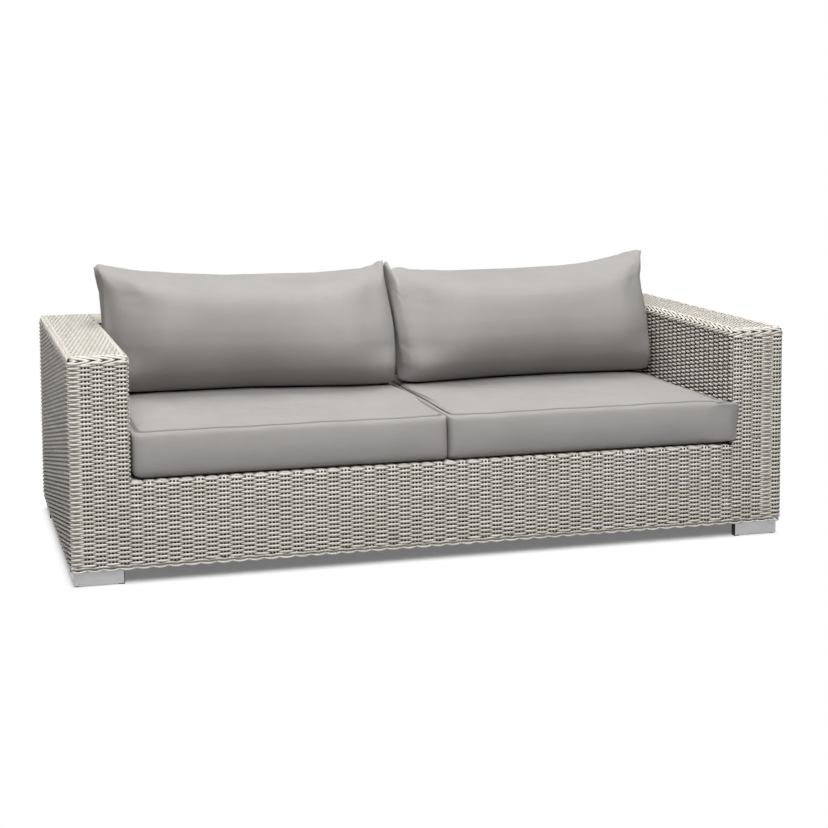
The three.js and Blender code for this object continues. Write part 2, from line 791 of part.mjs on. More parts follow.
// Two sheets of the same grid closed by a strip round their edge
function pillowGeometry(front, rear, columns, rows) {
  const positions = [...front, ...rear].flat();
  const triangles = [];
  const at = (column, row) => column * rows + row;
  const behind = columns * rows;
  for (let column = 0; column < columns - 1; column += 1) {
    for (let row = 0; row < rows - 1; row += 1) {
      const a = at(column, row);
      const b = at(column + 1, row);
      const c = at(column + 1, row + 1);
      const d = at(column, row + 1);
      triangles.push(a, b, c, a, c, d);
      triangles.push(behind + a, behind + c, behind + b, behind + a, behind + d, behind + c);
    }
  }
  const edge = [];
  for (let column = 0; column < columns - 1; column += 1) edge.push(at(column, 0));
  for (let row = 0; row < rows - 1; row += 1) edge.push(at(columns - 1, row));
  for (let column = columns - 1; column > 0; column -= 1) edge.push(at(column, rows - 1));
  for (let row = rows - 1; row > 0; row -= 1) edge.push(at(0, row));
  edge.forEach((here, index) => {
    const next = edge[(index + 1) % edge.length];
    triangles.push(here, behind + here, next, next, behind + here, behind + next);
  });
  return closedGeometry(positions, triangles);
}

function buildCushions() {
  addPair("seat_cushion", seatCushion(), "fabric");
  addPair("back_cushion", backCushion(), "fabric");
}

buildArmPanels();
buildApronAndDeck();
buildBackPanels();
buildArmFrame();
buildSeatFrame();
buildBackFrame();
buildFeet();
buildCushions();

export default sofa;
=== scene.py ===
import math

import bpy
import numpy as np
from mathutils import Matrix, Vector


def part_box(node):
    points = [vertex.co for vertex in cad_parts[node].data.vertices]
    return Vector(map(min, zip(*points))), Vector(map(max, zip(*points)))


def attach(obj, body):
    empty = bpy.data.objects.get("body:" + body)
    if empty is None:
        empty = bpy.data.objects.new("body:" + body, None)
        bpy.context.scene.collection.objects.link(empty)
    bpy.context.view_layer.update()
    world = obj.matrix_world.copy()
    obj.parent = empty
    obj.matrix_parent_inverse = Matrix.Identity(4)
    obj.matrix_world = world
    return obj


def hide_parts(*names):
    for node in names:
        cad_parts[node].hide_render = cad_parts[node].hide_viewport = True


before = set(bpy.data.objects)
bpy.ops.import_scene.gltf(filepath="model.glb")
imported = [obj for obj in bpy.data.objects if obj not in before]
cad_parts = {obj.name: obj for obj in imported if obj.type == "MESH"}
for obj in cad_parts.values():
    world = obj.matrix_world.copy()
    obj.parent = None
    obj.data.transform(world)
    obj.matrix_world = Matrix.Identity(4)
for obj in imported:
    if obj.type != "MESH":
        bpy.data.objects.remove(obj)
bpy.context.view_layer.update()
sofaBody = "sofa_frame"
mergeReach = 0.00002

# Everyday steps in object and edit mode


def deselectAll():
    if bpy.context.mode != "OBJECT":
        bpy.ops.object.mode_set(mode="OBJECT")
    bpy.ops.object.select_all(action="DESELECT")


def makeActive(obj):
    deselectAll()
    obj.select_set(True)
    bpy.context.view_layer.objects.active = obj


def applyModifiers(obj):
    makeActive(obj)
    for modifier in list(obj.modifiers):
        bpy.ops.object.modifier_apply(modifier=modifier.name)


def applyPlace(obj):
    makeActive(obj)
    bpy.ops.object.transform_apply(location=True, rotation=True, scale=True)


def startEdit(obj):
    makeActive(obj)
    bpy.ops.object.mode_set(mode="EDIT")
    bpy.ops.mesh.select_all(action="SELECT")


def endEdit(outwards=False):
    if outwards:
        bpy.ops.mesh.normals_make_consistent(inside=False)
    bpy.ops.object.mode_set(mode="OBJECT")


def repeat(obj, count, offset, merge=False):
    array = obj.modifiers.new("repeat", "ARRAY")
    array.count = count
    array.use_relative_offset = False
    array.use_constant_offset = True
    array.constant_offset_displace = offset
    array.use_merge_vertices = merge
    array.merge_threshold = mergeReach
    applyModifiers(obj)


def joinAll(name, pieces):
    deselectAll()
    for piece in pieces:
        piece.select_set(True)
    bpy.context.view_layer.objects.active = pieces[0]
    bpy.ops.object.join()
    pieces[0].name = name
    return pieces[0]


def copyOf(obj, name):
    twin = obj.copy()
    twin.data = obj.data.copy()
    twin.name = name
    bpy.context.collection.objects.link(twin)
    return twin


def dress(obj, material):
    obj.data.materials.clear()
    obj.data.materials.append(material)


def placing(directions, origin):
    # Takes X, Y and Z to three directions and the centre to the origin
    turn = Matrix.Identity(4)
    for column, direction in enumerate(directions):
        for line in range(3):
            turn[line][column] = direction[line]
    turn.translation = origin
    return turn


def boxOf(node):
    low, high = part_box(node)
    return Vector(low), Vector(high)


def smooth(obj, degrees=180):
    makeActive(obj)
    if degrees < 180:
        bpy.ops.object.shade_smooth_by_angle(angle=math.radians(degrees))
    else:
        bpy.ops.object.shade_smooth()


def cutAcross(obj, x, keepAbove):
    # Cuts a strand square across and closes the cut end
    startEdit(obj)
    bpy.ops.mesh.bisect(
        plane_co=(x, 0, 0), plane_no=(1, 0, 0), use_fill=True,
        clear_inner=keepAbove, clear_outer=not keepAbove,
    )
    endEdit()


def makeRing(sides, height, thickness, place=(0, 0, 0), fill="NOTHING"):
    # A section across X, from which a strand is drawn out
    bpy.ops.mesh.primitive_circle_add(
        vertices=sides, radius=0.5, fill_type=fill, location=place, rotation=(0, math.pi / 2, 0)
    )
    ring = bpy.context.object
    ring.scale = (height, thickness, 1)
    applyPlace(ring)
    return ring


def writeMarks(obj, name, rows):
    # A vector for every point of the mesh, which the materials read
    mark = obj.data.attributes.new(name, "FLOAT_VECTOR", "POINT")
    mark.data.foreach_set("vector", np.asarray(rows, dtype=np.float32).ravel())


def pointsOf(obj):
    places = np.empty(len(obj.data.vertices) * 3, dtype=np.float32)
    obj.data.vertices.foreach_get("co", places)
    return places.reshape(-1, 3)


def readMarks(obj, name):
    rows = np.empty(len(obj.data.vertices) * 3, dtype=np.float32)
    obj.data.attributes[name].data.foreach_get("vector", rows)
    return rows.reshape(-1, 3)


def markStrands(obj, rows, depths=0, share=1):
    # Place along the strand, its row, and its depth, which sets its painted shade
    places = pointsOf(obj)
    marks = np.zeros_like(places)
    marks[:, 0] = places[:, 0] * share
    marks[:, 1] = rows
    marks[:, 2] = depths
    writeMarks(obj, "strand_place", marks)


def setPoints(obj, places):
    obj.data.vertices.foreach_set("co", np.asarray(places, dtype=np.float32).ravel())
    obj.data.update()


def easeStep(values, start, end):
    share = np.clip((values - start) / (end - start), 0, 1)
    return share * share * (3 - 2 * share)


def softLine(values, stops, spread):
    # The line through the stops with its corners rounded
    places, levels = zip(*stops)
    shifts = np.linspace(-2, 2, 17)
    weights = np.exp(-shifts * shifts / 2)
    lines = [np.interp(values + shift * spread, places, levels) for shift in shifts]
    return sum(weight * line for weight, line in zip(weights, lines)) / weights.sum()


# Materials


def newMaterial(name, roughness, specular=0.4, metallic=0.0):
    material = bpy.data.materials.new(name)
    material.use_nodes = True
    shader = material.node_tree.nodes["Principled BSDF"]
    shader.inputs["Roughness"].default_value = roughness
    shader.inputs["Specular IOR Level"].default_value = specular
    shader.inputs["Metallic"].default_value = metallic
    return material, shader


def addNode(material, kind, links=None, **settings):
    node = material.node_tree.nodes.new(kind)
    for key, value in settings.items():
        setattr(node, key, value)
    for socket, source in (links or {}).items():
        if isinstance(source, bpy.types.NodeSocket):
            link(material, source, node.inputs[socket])
        else:
            node.inputs[socket].default_value = source
    return node


def link(material, source, target):
    material.node_tree.links.new(source, target)


def doMath(material, operation, first, second=0.0, third=0.0):
    node = addNode(material, "ShaderNodeMath", {0: first, 1: second, 2: third}, operation=operation)
    return node.outputs[0]


def objectPlace(material):
    return addNode(material, "ShaderNodeTexCoord").outputs["Object"]


def partsOf(material, vector):
    return addNode(material, "ShaderNodeSeparateXYZ", {0: vector}).outputs


def vectorOf(material, first, second):
    return addNode(material, "ShaderNodeCombineXYZ", {0: first, 1: second}).outputs[0]


def noise(material, place, scale, detail):
    inputs = {"Vector": place, "Scale": scale, "Detail": detail}
    return addNode(material, "ShaderNodeTexNoise", inputs).outputs[0]


def remap(material, value, fromLow, fromHigh, toLow, toHigh, **settings):
    inputs = {0: value, 1: fromLow, 2: fromHigh, 3: toLow, 4: toHigh}
    return addNode(material, "ShaderNodeMapRange", inputs, **settings).outputs[0]


def mixColour(material, share, first, second, blend="MIX"):
    inputs = {0: share, 6: first, 7: second}
    return addNode(material, "ShaderNodeMix", inputs, data_type="RGBA", blend_type=blend).outputs[2]


def rampOf(material, source, stops):
    node = addNode(material, "ShaderNodeValToRGB", {0: source})
    elements = node.color_ramp.elements
    while len(elements) < len(stops):
        elements.new(1.0)
    for element, (place, colour) in zip(elements, stops):
        element.position = place
        element.color = (*colour, 1)
    return node.outputs[0]


def twoTones(material, source, finish):
    stops = [(finish[f"{shade}At"], finish[shade]) for shade in ("dull", "pale")]
    return rampOf(material, source, stops)


def bump(material, shader, height, distance):
    node = addNode(material, "ShaderNodeBump", {"Height": height, "Distance": distance, "Strength": 1.0})
    link(material, node.outputs[0], shader.inputs["Normal"])


strandFinish = {
    "tones": [
        (0.0, (0.52, 0.48, 0.43)),
        (0.18, (0.70, 0.65, 0.60)),
        (0.36, (0.76, 0.73, 0.64)),
        (0.54, (0.82, 0.78, 0.73)),
        (0.74, (0.88, 0.83, 0.785)),
        (0.9, (0.90, 0.865, 0.80)),
        (1.0, (0.92, 0.90, 0.86)),
    ],
    "runLength": 0.21,
    "runShift": 9.0,
    "runShare": 0.62,
    "toneBase": -0.07,
    "driftRate": 9.0,
    "driftShare": 0.52,
    "streakScale": (0.0, 0.0, 1400.0),
    "streakRun": 60.0,
    "streakTones": [(0.3, (0.86, 0.86, 0.85)), (0.72, (1.08, 1.08, 1.08))],
    "streakRelief": 0.0004,
    "paintedShadeTone": (0.030, 0.026, 0.022),
    "paintedShadeFrom": -0.003,
    "paintedShadeTo": 0.005,
    "paintedShadeShares": [(0.07, 0.0), (0.25, 0.01), (0.46, 0.07), (0.66, 0.48), (0.84, 1.0)],
}


def makeStrandFinish():
    # Variegated synthetic strand: each row changes tone every few columns and is finely streaked; its colour
    # is also painted darker the deeper it lies in the weave, as painted shade
    material, shader = newMaterial("woven_strand_finish", roughness=0.5, specular=0.35)
    marks = addNode(material, "ShaderNodeAttribute", attribute_name="strand_place").outputs["Vector"]
    along, row, depth = partsOf(material, marks)
    start = addNode(material, "ShaderNodeTexWhiteNoise", {"W": row}, noise_dimensions="1D")
    run = doMath(material, "MULTIPLY", start.outputs["Value"], strandFinish["runShift"])
    run = doMath(material, "MULTIPLY_ADD", along, 1 / strandFinish["runLength"], run)
    runKey = vectorOf(material, doMath(material, "FLOOR", run), row)
    runTone = addNode(material, "ShaderNodeTexWhiteNoise", {0: runKey}, noise_dimensions="2D")
    slowly = doMath(material, "MULTIPLY", along, strandFinish["driftRate"])
    drift = noise(material, vectorOf(material, slowly, row), 1.0, 2.0)
    runShare, base = strandFinish["runShare"], strandFinish["toneBase"]
    tone = doMath(material, "MULTIPLY_ADD", runTone.outputs["Value"], runShare, base)
    tone = doMath(material, "MULTIPLY_ADD", drift, strandFinish["driftShare"], tone)
    colour = rampOf(material, tone, strandFinish["tones"])
    streakRow = vectorOf(material, doMath(material, "MULTIPLY", along, strandFinish["streakRun"]), row)
    inputs = {0: objectPlace(material), 1: strandFinish["streakScale"], 2: streakRow}
    streakPlace = addNode(material, "ShaderNodeVectorMath", inputs, operation="MULTIPLY_ADD")
    streaks = noise(material, streakPlace.outputs[0], 1.0, 3.0)
    streakTone = rampOf(material, streaks, strandFinish["streakTones"])
    colour = mixColour(material, 1.0, colour, streakTone, "MULTIPLY")
    # Painted shade: the depth mark carries the colour towards the near-black shade tone
    deep = remap(material, depth, strandFinish["paintedShadeFrom"], strandFinish["paintedShadeTo"], 0.0, 1.0)
    paintedShadeStops = [(level, (share, share, share)) for level, share in strandFinish["paintedShadeShares"]]
    colour = mixColour(material, rampOf(material, deep, paintedShadeStops), colour, (*strandFinish["paintedShadeTone"], 1))
    link(material, colour, shader.inputs["Base Color"])
    bump(material, shader, streaks, strandFinish["streakRelief"])
    return material


fabricFinish = {
    "threadPitch": 0.0011,
    "pale": (0.402, 0.388, 0.378),
    "dull": (0.361, 0.347, 0.337),
    "seamTone": 0.55,
    "seamHalf": 0.0005,
    "seamSoft": 0.0013,
    "cloudScale": 6.0,
    "fleckScale": 420.0,
    "fleckShare": 0.5,
    "fleckRelief": 1.5,
    "slubScale": (9.0, 300.0, 300.0),
    "slubShare": 0.4,
    "toneBase": -0.25,
    "dullAt": 0.45,
    "paleAt": 0.95,
    "relief": 0.00012,
    "sheen": 0.12,
    "sheenRoughness": 0.5,
}


def makeFabricFinish():
    # Plain woven outdoor cloth: fine threads, faint slubs and a dark line where the panels meet
    material, shader = newMaterial("cushion_cloth", roughness=0.92, specular=0.2)
    shader.inputs["Sheen Weight"].default_value = fabricFinish["sheen"]
    shader.inputs["Sheen Roughness"].default_value = fabricFinish["sheenRoughness"]
    place = objectPlace(material)
    cloud = noise(material, place, fabricFinish["cloudScale"], 4.0)
    fleck = noise(material, place, fabricFinish["fleckScale"], 3.0)
    slubPlace = addNode(material, "ShaderNodeMapping", {0: place, 3: fabricFinish["slubScale"]})
    slub = noise(material, slubPlace.outputs[0], 1.0, 2.0)
    tone = doMath(material, "MULTIPLY_ADD", fleck, fabricFinish["fleckShare"], fabricFinish["toneBase"])
    tone = doMath(material, "ADD", tone, cloud)
    tone = doMath(material, "MULTIPLY_ADD", slub, fabricFinish["slubShare"], tone)
    colour = twoTones(material, tone, fabricFinish)
    seam = addNode(material, "ShaderNodeAttribute", attribute_name="seam_place").outputs["Vector"]
    away = doMath(material, "ABSOLUTE", partsOf(material, seam)[0])
    line = remap(material, away, fabricFinish["seamHalf"], fabricFinish["seamSoft"], 1.0, 0.0)
    shade = fabricFinish["seamTone"]
    darker = mixColour(material, 1.0, colour, (shade, shade, shade, 1), "MULTIPLY")
    link(material, mixColour(material, line, colour, darker), shader.inputs["Base Color"])
    turns = 2 * math.pi / fabricFinish["threadPitch"]
    axes = partsOf(material, place)
    waves = [doMath(material, "SINE", doMath(material, "MULTIPLY", axis, turns)) for axis in axes]
    threads = doMath(material, "MULTIPLY", waves[0], doMath(material, "ADD", waves[1], waves[2]))
    height = doMath(material, "MULTIPLY_ADD", fleck, fabricFinish["fleckRelief"], threads)
    bump(material, shader, height, fabricFinish["relief"])
    return material


tubeFinish = {
    "dull": (0.60, 0.58, 0.55),
    "pale": (0.68, 0.66, 0.62),
    "dullAt": 0.3,
    "paleAt": 0.7,
    "cloudScale": 7.0,
    "grainScale": 900.0,
    "relief": 0.0002,
}


def makeCoatedTubeFinish():
    # Fine powder coat over the welded frame
    material, shader = newMaterial("powder_coated_frame", roughness=0.5, specular=0.4, metallic=0.2)
    place = objectPlace(material)
    cloud = noise(material, place, tubeFinish["cloudScale"], 3.0)
    link(material, twoTones(material, cloud, tubeFinish), shader.inputs["Base Color"])
    grain = noise(material, place, tubeFinish["grainScale"], 2.0)
    bump(material, shader, grain, tubeFinish["relief"])
    return material


footFinish = {
    "dull": (0.46, 0.464, 0.468),
    "pale": (0.66, 0.664, 0.668),
    "dullAt": 0.25,
    "paleAt": 0.75,
    "brushScale": (6.0, 6.0, 1400.0),
    "wearScale": 22.0,
    "leastRough": 0.36,
    "mostRough": 0.48,
    "relief": 0.00008,
}


def makeFootFinish():
    # Satin aluminium, brushed along the foot, a little duller in places
    material, shader = newMaterial("brushed_foot", roughness=0.34, specular=0.5, metallic=0.85)
    place = objectPlace(material)
    stretch = addNode(material, "ShaderNodeMapping", {0: place, 3: footFinish["brushScale"]})
    brush = noise(material, stretch.outputs[0], 1.0, 3.0)
    link(material, twoTones(material, brush, footFinish), shader.inputs["Base Color"])
    wear = noise(material, place, footFinish["wearScale"], 3.0)
    rough = remap(material, wear, 0.3, 0.7, footFinish["leastRough"], footFinish["mostRough"])
    link(material, rough, shader.inputs["Roughness"])
    bump(material, shader, brush, footFinish["relief"])
    return material


glideFinish = {
    "dull": (0.010, 0.010, 0.011),
    "pale": (0.024, 0.024, 0.026),
    "dullAt": 0.3,
    "paleAt": 0.7,
    "grainScale": 1500.0,
    "relief": 0.0001,
}


def makeGlideFinish():
    # Moulded black plastic with a fine spark texture
    material, shader = newMaterial("black_glide", roughness=0.5, specular=0.4)
    grain = noise(material, objectPlace(material), glideFinish["grainScale"], 2.0)
    link(material, twoTones(material, grain, glideFinish), shader.inputs["Base Color"])
    bump(material, shader, grain, glideFinish["relief"])
    return material


shadeBackingFinish = {
    "dull": (0.070, 0.064, 0.056),
    "pale": (0.140, 0.128, 0.114),
    "dullAt": 0.2,
    "paleAt": 0.8,
    "rowScale": 27.0,
    "distortion": 1.2,
    "relief": 0.0006,
}


def makeShadeBackingFinish():
    # A dark sheet behind the weave, painted dark as the shade seen through its gaps, with faint rows
    material, shader = newMaterial("painted_shade_backing", roughness=0.8, specular=0.1)
    scale, distortion = shadeBackingFinish["rowScale"], shadeBackingFinish["distortion"]
    inputs = {"Vector": objectPlace(material), "Scale": scale, "Distortion": distortion, "Detail": 2.0}
    rows = addNode(material, "ShaderNodeTexWave", inputs, bands_direction="Z").outputs[0]
    link(material, twoTones(material, rows, shadeBackingFinish), shader.inputs["Base Color"])
    bump(material, shader, rows, shadeBackingFinish["relief"])
    return material


strandMaterial = makeStrandFinish()
shadeBackingMaterial = makeShadeBackingFinish()
tubeMaterial = makeCoatedTubeFinish()
footMaterial = makeFootFinish()
fabricMaterial = makeFabricFinish()
glideMaterial = makeGlideFinish()

print("finishes made")

# Paths seen from above, walked anticlockwise round the woven body, so that left is inwards

sofa = {
    "sideX": 1.05,
    "frontY": -0.5,
    "rearY": 0.5,
    "armInnerX": 0.885,
    "backInnerY": 0.295,
    "cornerRadius": 0.0045,
    "innerCornerRadius": 0.004,
    "pathStep": 0.006,
    "turnStep": 0.0012,
    "runOn": 0.12,
    "topZ": 0.626,
    "deckZ": 0.281,
}


def cornerPath(stops, closed=False):
    # Straight runs between (x, y, radius) stops, with a round turn at each stop that has a radius
    count = len(stops)
    points = []
    for index, (x, y, radius) in enumerate(stops):
        here = Vector((x, y))
        if not closed and index in (0, count - 1):
            points.append(here)
            continue
        before = Vector(stops[index - 1][:2])
        after = Vector(stops[(index + 1) % count][:2])
        comeIn = (here - before).normalized()
        goOut = (after - here).normalized()
        turn = math.copysign(math.pi / 2, comeIn.cross(goOut))
        side = Vector((-comeIn.y, comeIn.x)) * math.copysign(1, turn)
        centre = here - comeIn * radius + side * radius
        steps = max(4, round(radius / sofa["turnStep"]))
        for step in range(steps + 1):
            arm = -side * radius
            arm.rotate(Matrix.Rotation(turn * step / steps, 2))
            points.append(centre + arm)
    if closed:
        points.append(points[0])
    return points


def evenPath(points, step):
    # The same path with points at even spacing
    lengths = [0.0]
    for first, second in zip(points, points[1:]):
        lengths.append(lengths[-1] + (second - first).length)
    total = lengths[-1]
    count = round(total / step)
    places = np.linspace(0, total, count + 1)
    xs = np.interp(places, lengths, [point.x for point in points])
    ys = np.interp(places, lengths, [point.y for point in points])
    return list(zip(xs, ys)), total


def wrapAlong(obj, stops, closed=False):
    # Lays a straight weave along a path with a Curve modifier, as a strand goes round the frame
    corners = cornerPath(stops, closed)
    points = evenPath(corners, sofa["pathStep"] / 3)[0]
    if closed:
        # The start of the path again, for ends that run past the closing point
        points = points + points[1 : round(sofa["runOn"] / sofa["pathStep"] * 3)]
    curve = bpy.data.curves.new("wrap_path", "CURVE")
    curve.dimensions = "3D"
    spline = curve.splines.new("POLY")
    spline.points.add(len(points) - 1)
    for place, (x, y) in zip(spline.points, points):
        place.co = (x, y, 0, 1)
    guide = bpy.data.objects.new("wrap_path", curve)
    bpy.context.collection.objects.link(guide)
    bend = obj.modifiers.new("wrap", "CURVE")
    bend.object = guide
    applyModifiers(obj)
    bpy.data.objects.remove(guide)
    bpy.data.curves.remove(curve)


def pathLength(stops, closed=False):
    return evenPath(cornerPath(stops, closed), sofa["pathStep"])[1]


# Weave

weave = {
    "rowPitch": 0.00603,
    "firstRowZ": 0.0596,
    "overHeight": 0.0074,
    "crossHeight": 0.0062,
    "underHeight": 0.0058,
    "strandThick": 0.0040,
    "overDepth": -0.0004,
    "nearOverDepth": 0.0005,
    "crossDepth": 0.0032,
    "nearUnderDepth": 0.0059,
    "underDepth": 0.0068,
    "outerSink": -0.0014,
    "innerSink": 0.0014,
    "cushionSink": 0.0023,
    "strandSides": 6,
    "stakeWidth": 0.0044,
    "stakeThick": 0.0022,
    "stakeDepth": 0.0034,
    "stakeSpread": 0.0048,
    "sideSlim": 0.78,
    "innerSlim": 0.88,
    "flatLevel": -0.0018,
    "bareRelief": 0.55,
    "stakeShade": 0.35,
    "stakeShadeLift": -0.0012,
    "frontShadeOffset": -0.0006,
    "slimShadeOffset": 0.0014,
    "ringLead": 0.22,
    "nearHeight": 0.96,
    "slimEase": 0.3,
    "bareFrom": 0.4,
    "bareTo": 0.62,
    "ledgeInset": 0.0045,
    "ledgeRows": 11,
}

# Columns of each wall, and the keys that tell one strand's tones from another's
wallColumns = {"side": 36, "rear": 33, "apron": 52, "armInner": 24, "backInner": 53}
rowKeys = {
    "left_side": 0, "right_side": 100, "rear": 200, "apron": 300, "ledge": 400, "armInner": 500,
    "backInner": 600, "armTop": 700, "backTop": 800, "deck": 900,
}
strandKeys = {"stakes": 2000, "core": 2900, "edge": 2950, "rim": 3000, "braid": 5000}


def makeStrand(columnWidth, columns, startsOver, scale=1.0):
    # One strand along X that goes over a column and under the next, drawn out ring by ring
    over, near, cross = weave["overDepth"], weave["nearOverDepth"], weave["crossDepth"]
    nearUnder, under = weave["nearUnderDepth"], weave["underDepth"]
    tall, low, flat = weave["overHeight"], weave["crossHeight"], weave["underHeight"]
    lead, nearTall = weave["ringLead"], tall * weave["nearHeight"]
    rings = [
        (lead, near, nearTall), (0.5, over, tall), (1 - lead, near, nearTall), (1.0, cross, low),
        (1 + lead, nearUnder, flat), (1.5, under, flat), (2 - lead, nearUnder, flat), (2.0, cross, low),
    ]
    first = -2 * columnWidth if startsOver else -3 * columnWidth
    strand = makeRing(weave["strandSides"], low * scale, weave["strandThick"], (first, cross, 0))
    startEdit(strand)
    lastPlace, lastDepth, lastHeight = 0.0, cross, low
    for place, depth, height in rings:
        move = ((place - lastPlace) * columnWidth, depth - lastDepth, 0)
        bpy.ops.mesh.extrude_edges_move(TRANSFORM_OT_translate={"value": move})
        centre = (first + place * columnWidth, depth, 0)
        bpy.ops.transform.resize(value=(1, 1, height / lastHeight), center_override=centre)
        lastPlace, lastDepth, lastHeight = place, depth, height
    endEdit()
    repeat(strand, columns // 2 + 3, (2 * columnWidth, 0, 0), merge=True)
    cutAcross(strand, 0, True)
    cutAcross(strand, columns * columnWidth, False)
    startEdit(strand)
    endEdit(outwards=True)
    return strand


def makeStakes(columnWidth, columns, height, bare):
    # Pairs of upright stakes between the strands; a column may be bare where it covers a frame tube
    bpy.ops.mesh.primitive_cylinder_add(
        vertices=weave["strandSides"], radius=0.5, depth=height, location=(0, weave["stakeDepth"], height / 2)
    )
    stake = bpy.context.object
    stake.scale = (weave["stakeWidth"], weave["stakeThick"], 1)
    applyPlace(stake)
    stakes = []
    for column in range(columns):
        if column in bare:
            continue
        for side in (-1, 1):
            twin = copyOf(stake, "stake")
            twin.location.x = (column + 0.5) * columnWidth + side * weave["stakeSpread"]
            applyPlace(twin)
            marks = np.zeros((len(twin.data.vertices), 3))
            marks[:, 0] = twin.data.vertices[0].co.x
            marks[:, 1] = strandKeys["stakes"] + 2 * column + side
            writeMarks(twin, "strand_place", marks)
            stakes.append(twin)
    bpy.data.objects.remove(stake)
    return stakes


def makeWeave(
    name, length, columns, rows, firstRow=0, phase=0, bare=(), rowKey=0, pitch=None, scale=1.0,
    relief=1.0, shade=1.0, sunk=0.0, slim=(0, 0, 1.0)
):
    # A flat stretch of weave: X along the strands, Y inwards, Z across the strands
    pitch = pitch or weave["rowPitch"]
    columnWidth = length / columns
    pieces = []
    for parity in (0, 1):
        count = (rows + 1 - parity) // 2
        startsOver = (parity + firstRow + phase) % 2 == 0
        strand = makeStrand(columnWidth, columns, startsOver, scale)
        strand.location.z = (parity + 0.5) * pitch
        applyPlace(strand)
        each = len(strand.data.vertices)
        repeat(strand, count, (0, 0, 2 * pitch))
        markStrands(strand, rowKey + firstRow + parity + 2 * (np.arange(each * count) // each))
        pieces.append(strand)
    pieces += makeStakes(columnWidth, columns, rows * pitch, bare)
    cloth = joinAll(name, pieces)
    # Over a frame tube the strands lie almost flat
    places = pointsOf(cloth)
    flatten = np.full(len(places), relief)
    for column in bare:
        away = np.abs(places[:, 0] / columnWidth - column - 0.5)
        flatten *= 1 - (1 - weave["bareRelief"]) * (1 - easeStep(away, weave["bareFrom"], weave["bareTo"]))
    places[:, 1] = weave["flatLevel"] + (places[:, 1] - weave["flatLevel"]) * flatten
    # Side walls have rounder, slimmer strands between the slim columns
    marks = readMarks(cloth, "strand_place")
    isStake = marks[:, 1] > strandKeys["stakes"] - 2
    rowCentre = (marks[:, 1] - rowKey - firstRow + 0.5) * pitch
    column = places[:, 0] / columnWidth
    first, last, share = slim
    ease = weave["slimEase"]
    inSlim = easeStep(column, first - ease, first + ease) * (1 - easeStep(column, last - ease, last + ease))
    slimming = 1 - (1 - share) * inSlim
    places[:, 2] = np.where(isStake, places[:, 2], rowCentre + (places[:, 2] - rowCentre) * slimming)
    setPoints(cloth, places)
    # Painted shade: the depth mark makes deeper parts darker, the slim side columns darker still and the
    # stakes lighter, shifted by the shade offset
    marks[:, 2] = places[:, 1] * shade * np.where(isStake, weave["stakeShade"], 1) + sunk
    marks[:, 2] += weave["slimShadeOffset"] * inSlim
    marks[isStake, 2] += weave["stakeShadeLift"]
    cloth.data.attributes["strand_place"].data.foreach_set("vector", marks.ravel())
    dress(cloth, strandMaterial)
    smooth(cloth)
    return cloth


def rideAsWeave(obj, *nodes):
    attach(obj, sofaBody)
    if nodes:
        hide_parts(*nodes)


def turnTo(obj, along, inward, across, origin):
    # Places a flat weave: its X, Y and Z go to these directions from the origin
    obj.matrix_world = placing((along, inward, across), origin)
    applyPlace(obj)


def hang(name, stops, columns, rows, sink, height, nodes, **settings):
    # A wall of weave along a path seen from above
    wall = makeWeave(name, pathLength(stops), columns, rows, **settings)
    wall.location = (0, sink, height)
    applyPlace(wall)
    wrapAlong(wall, stops)
    rideAsWeave(wall, *nodes)


def lay(name, length, columns, rows, directions, origin, nodes, **settings):
    # A flat sheet of weave
    sheet = makeWeave(name, length, columns, rows, **settings)
    turnTo(sheet, *directions, origin)
    rideAsWeave(sheet, *nodes)


upright = ((1, 0, 0), (0, 1, 0), (0, 0, 1))
level = ((1, 0, 0), (0, 0, -1), (0, 1, 0))
alongArm = ((0, 1, 0), (0, 0, -1), (-1, 0, 0))
outerRadius = sofa["cornerRadius"]
turnX = sofa["armInnerX"] + outerRadius
sideX, frontY, rearY = sofa["sideX"], sofa["frontY"], sofa["rearY"]
wallRows = 92
seatRows = 37


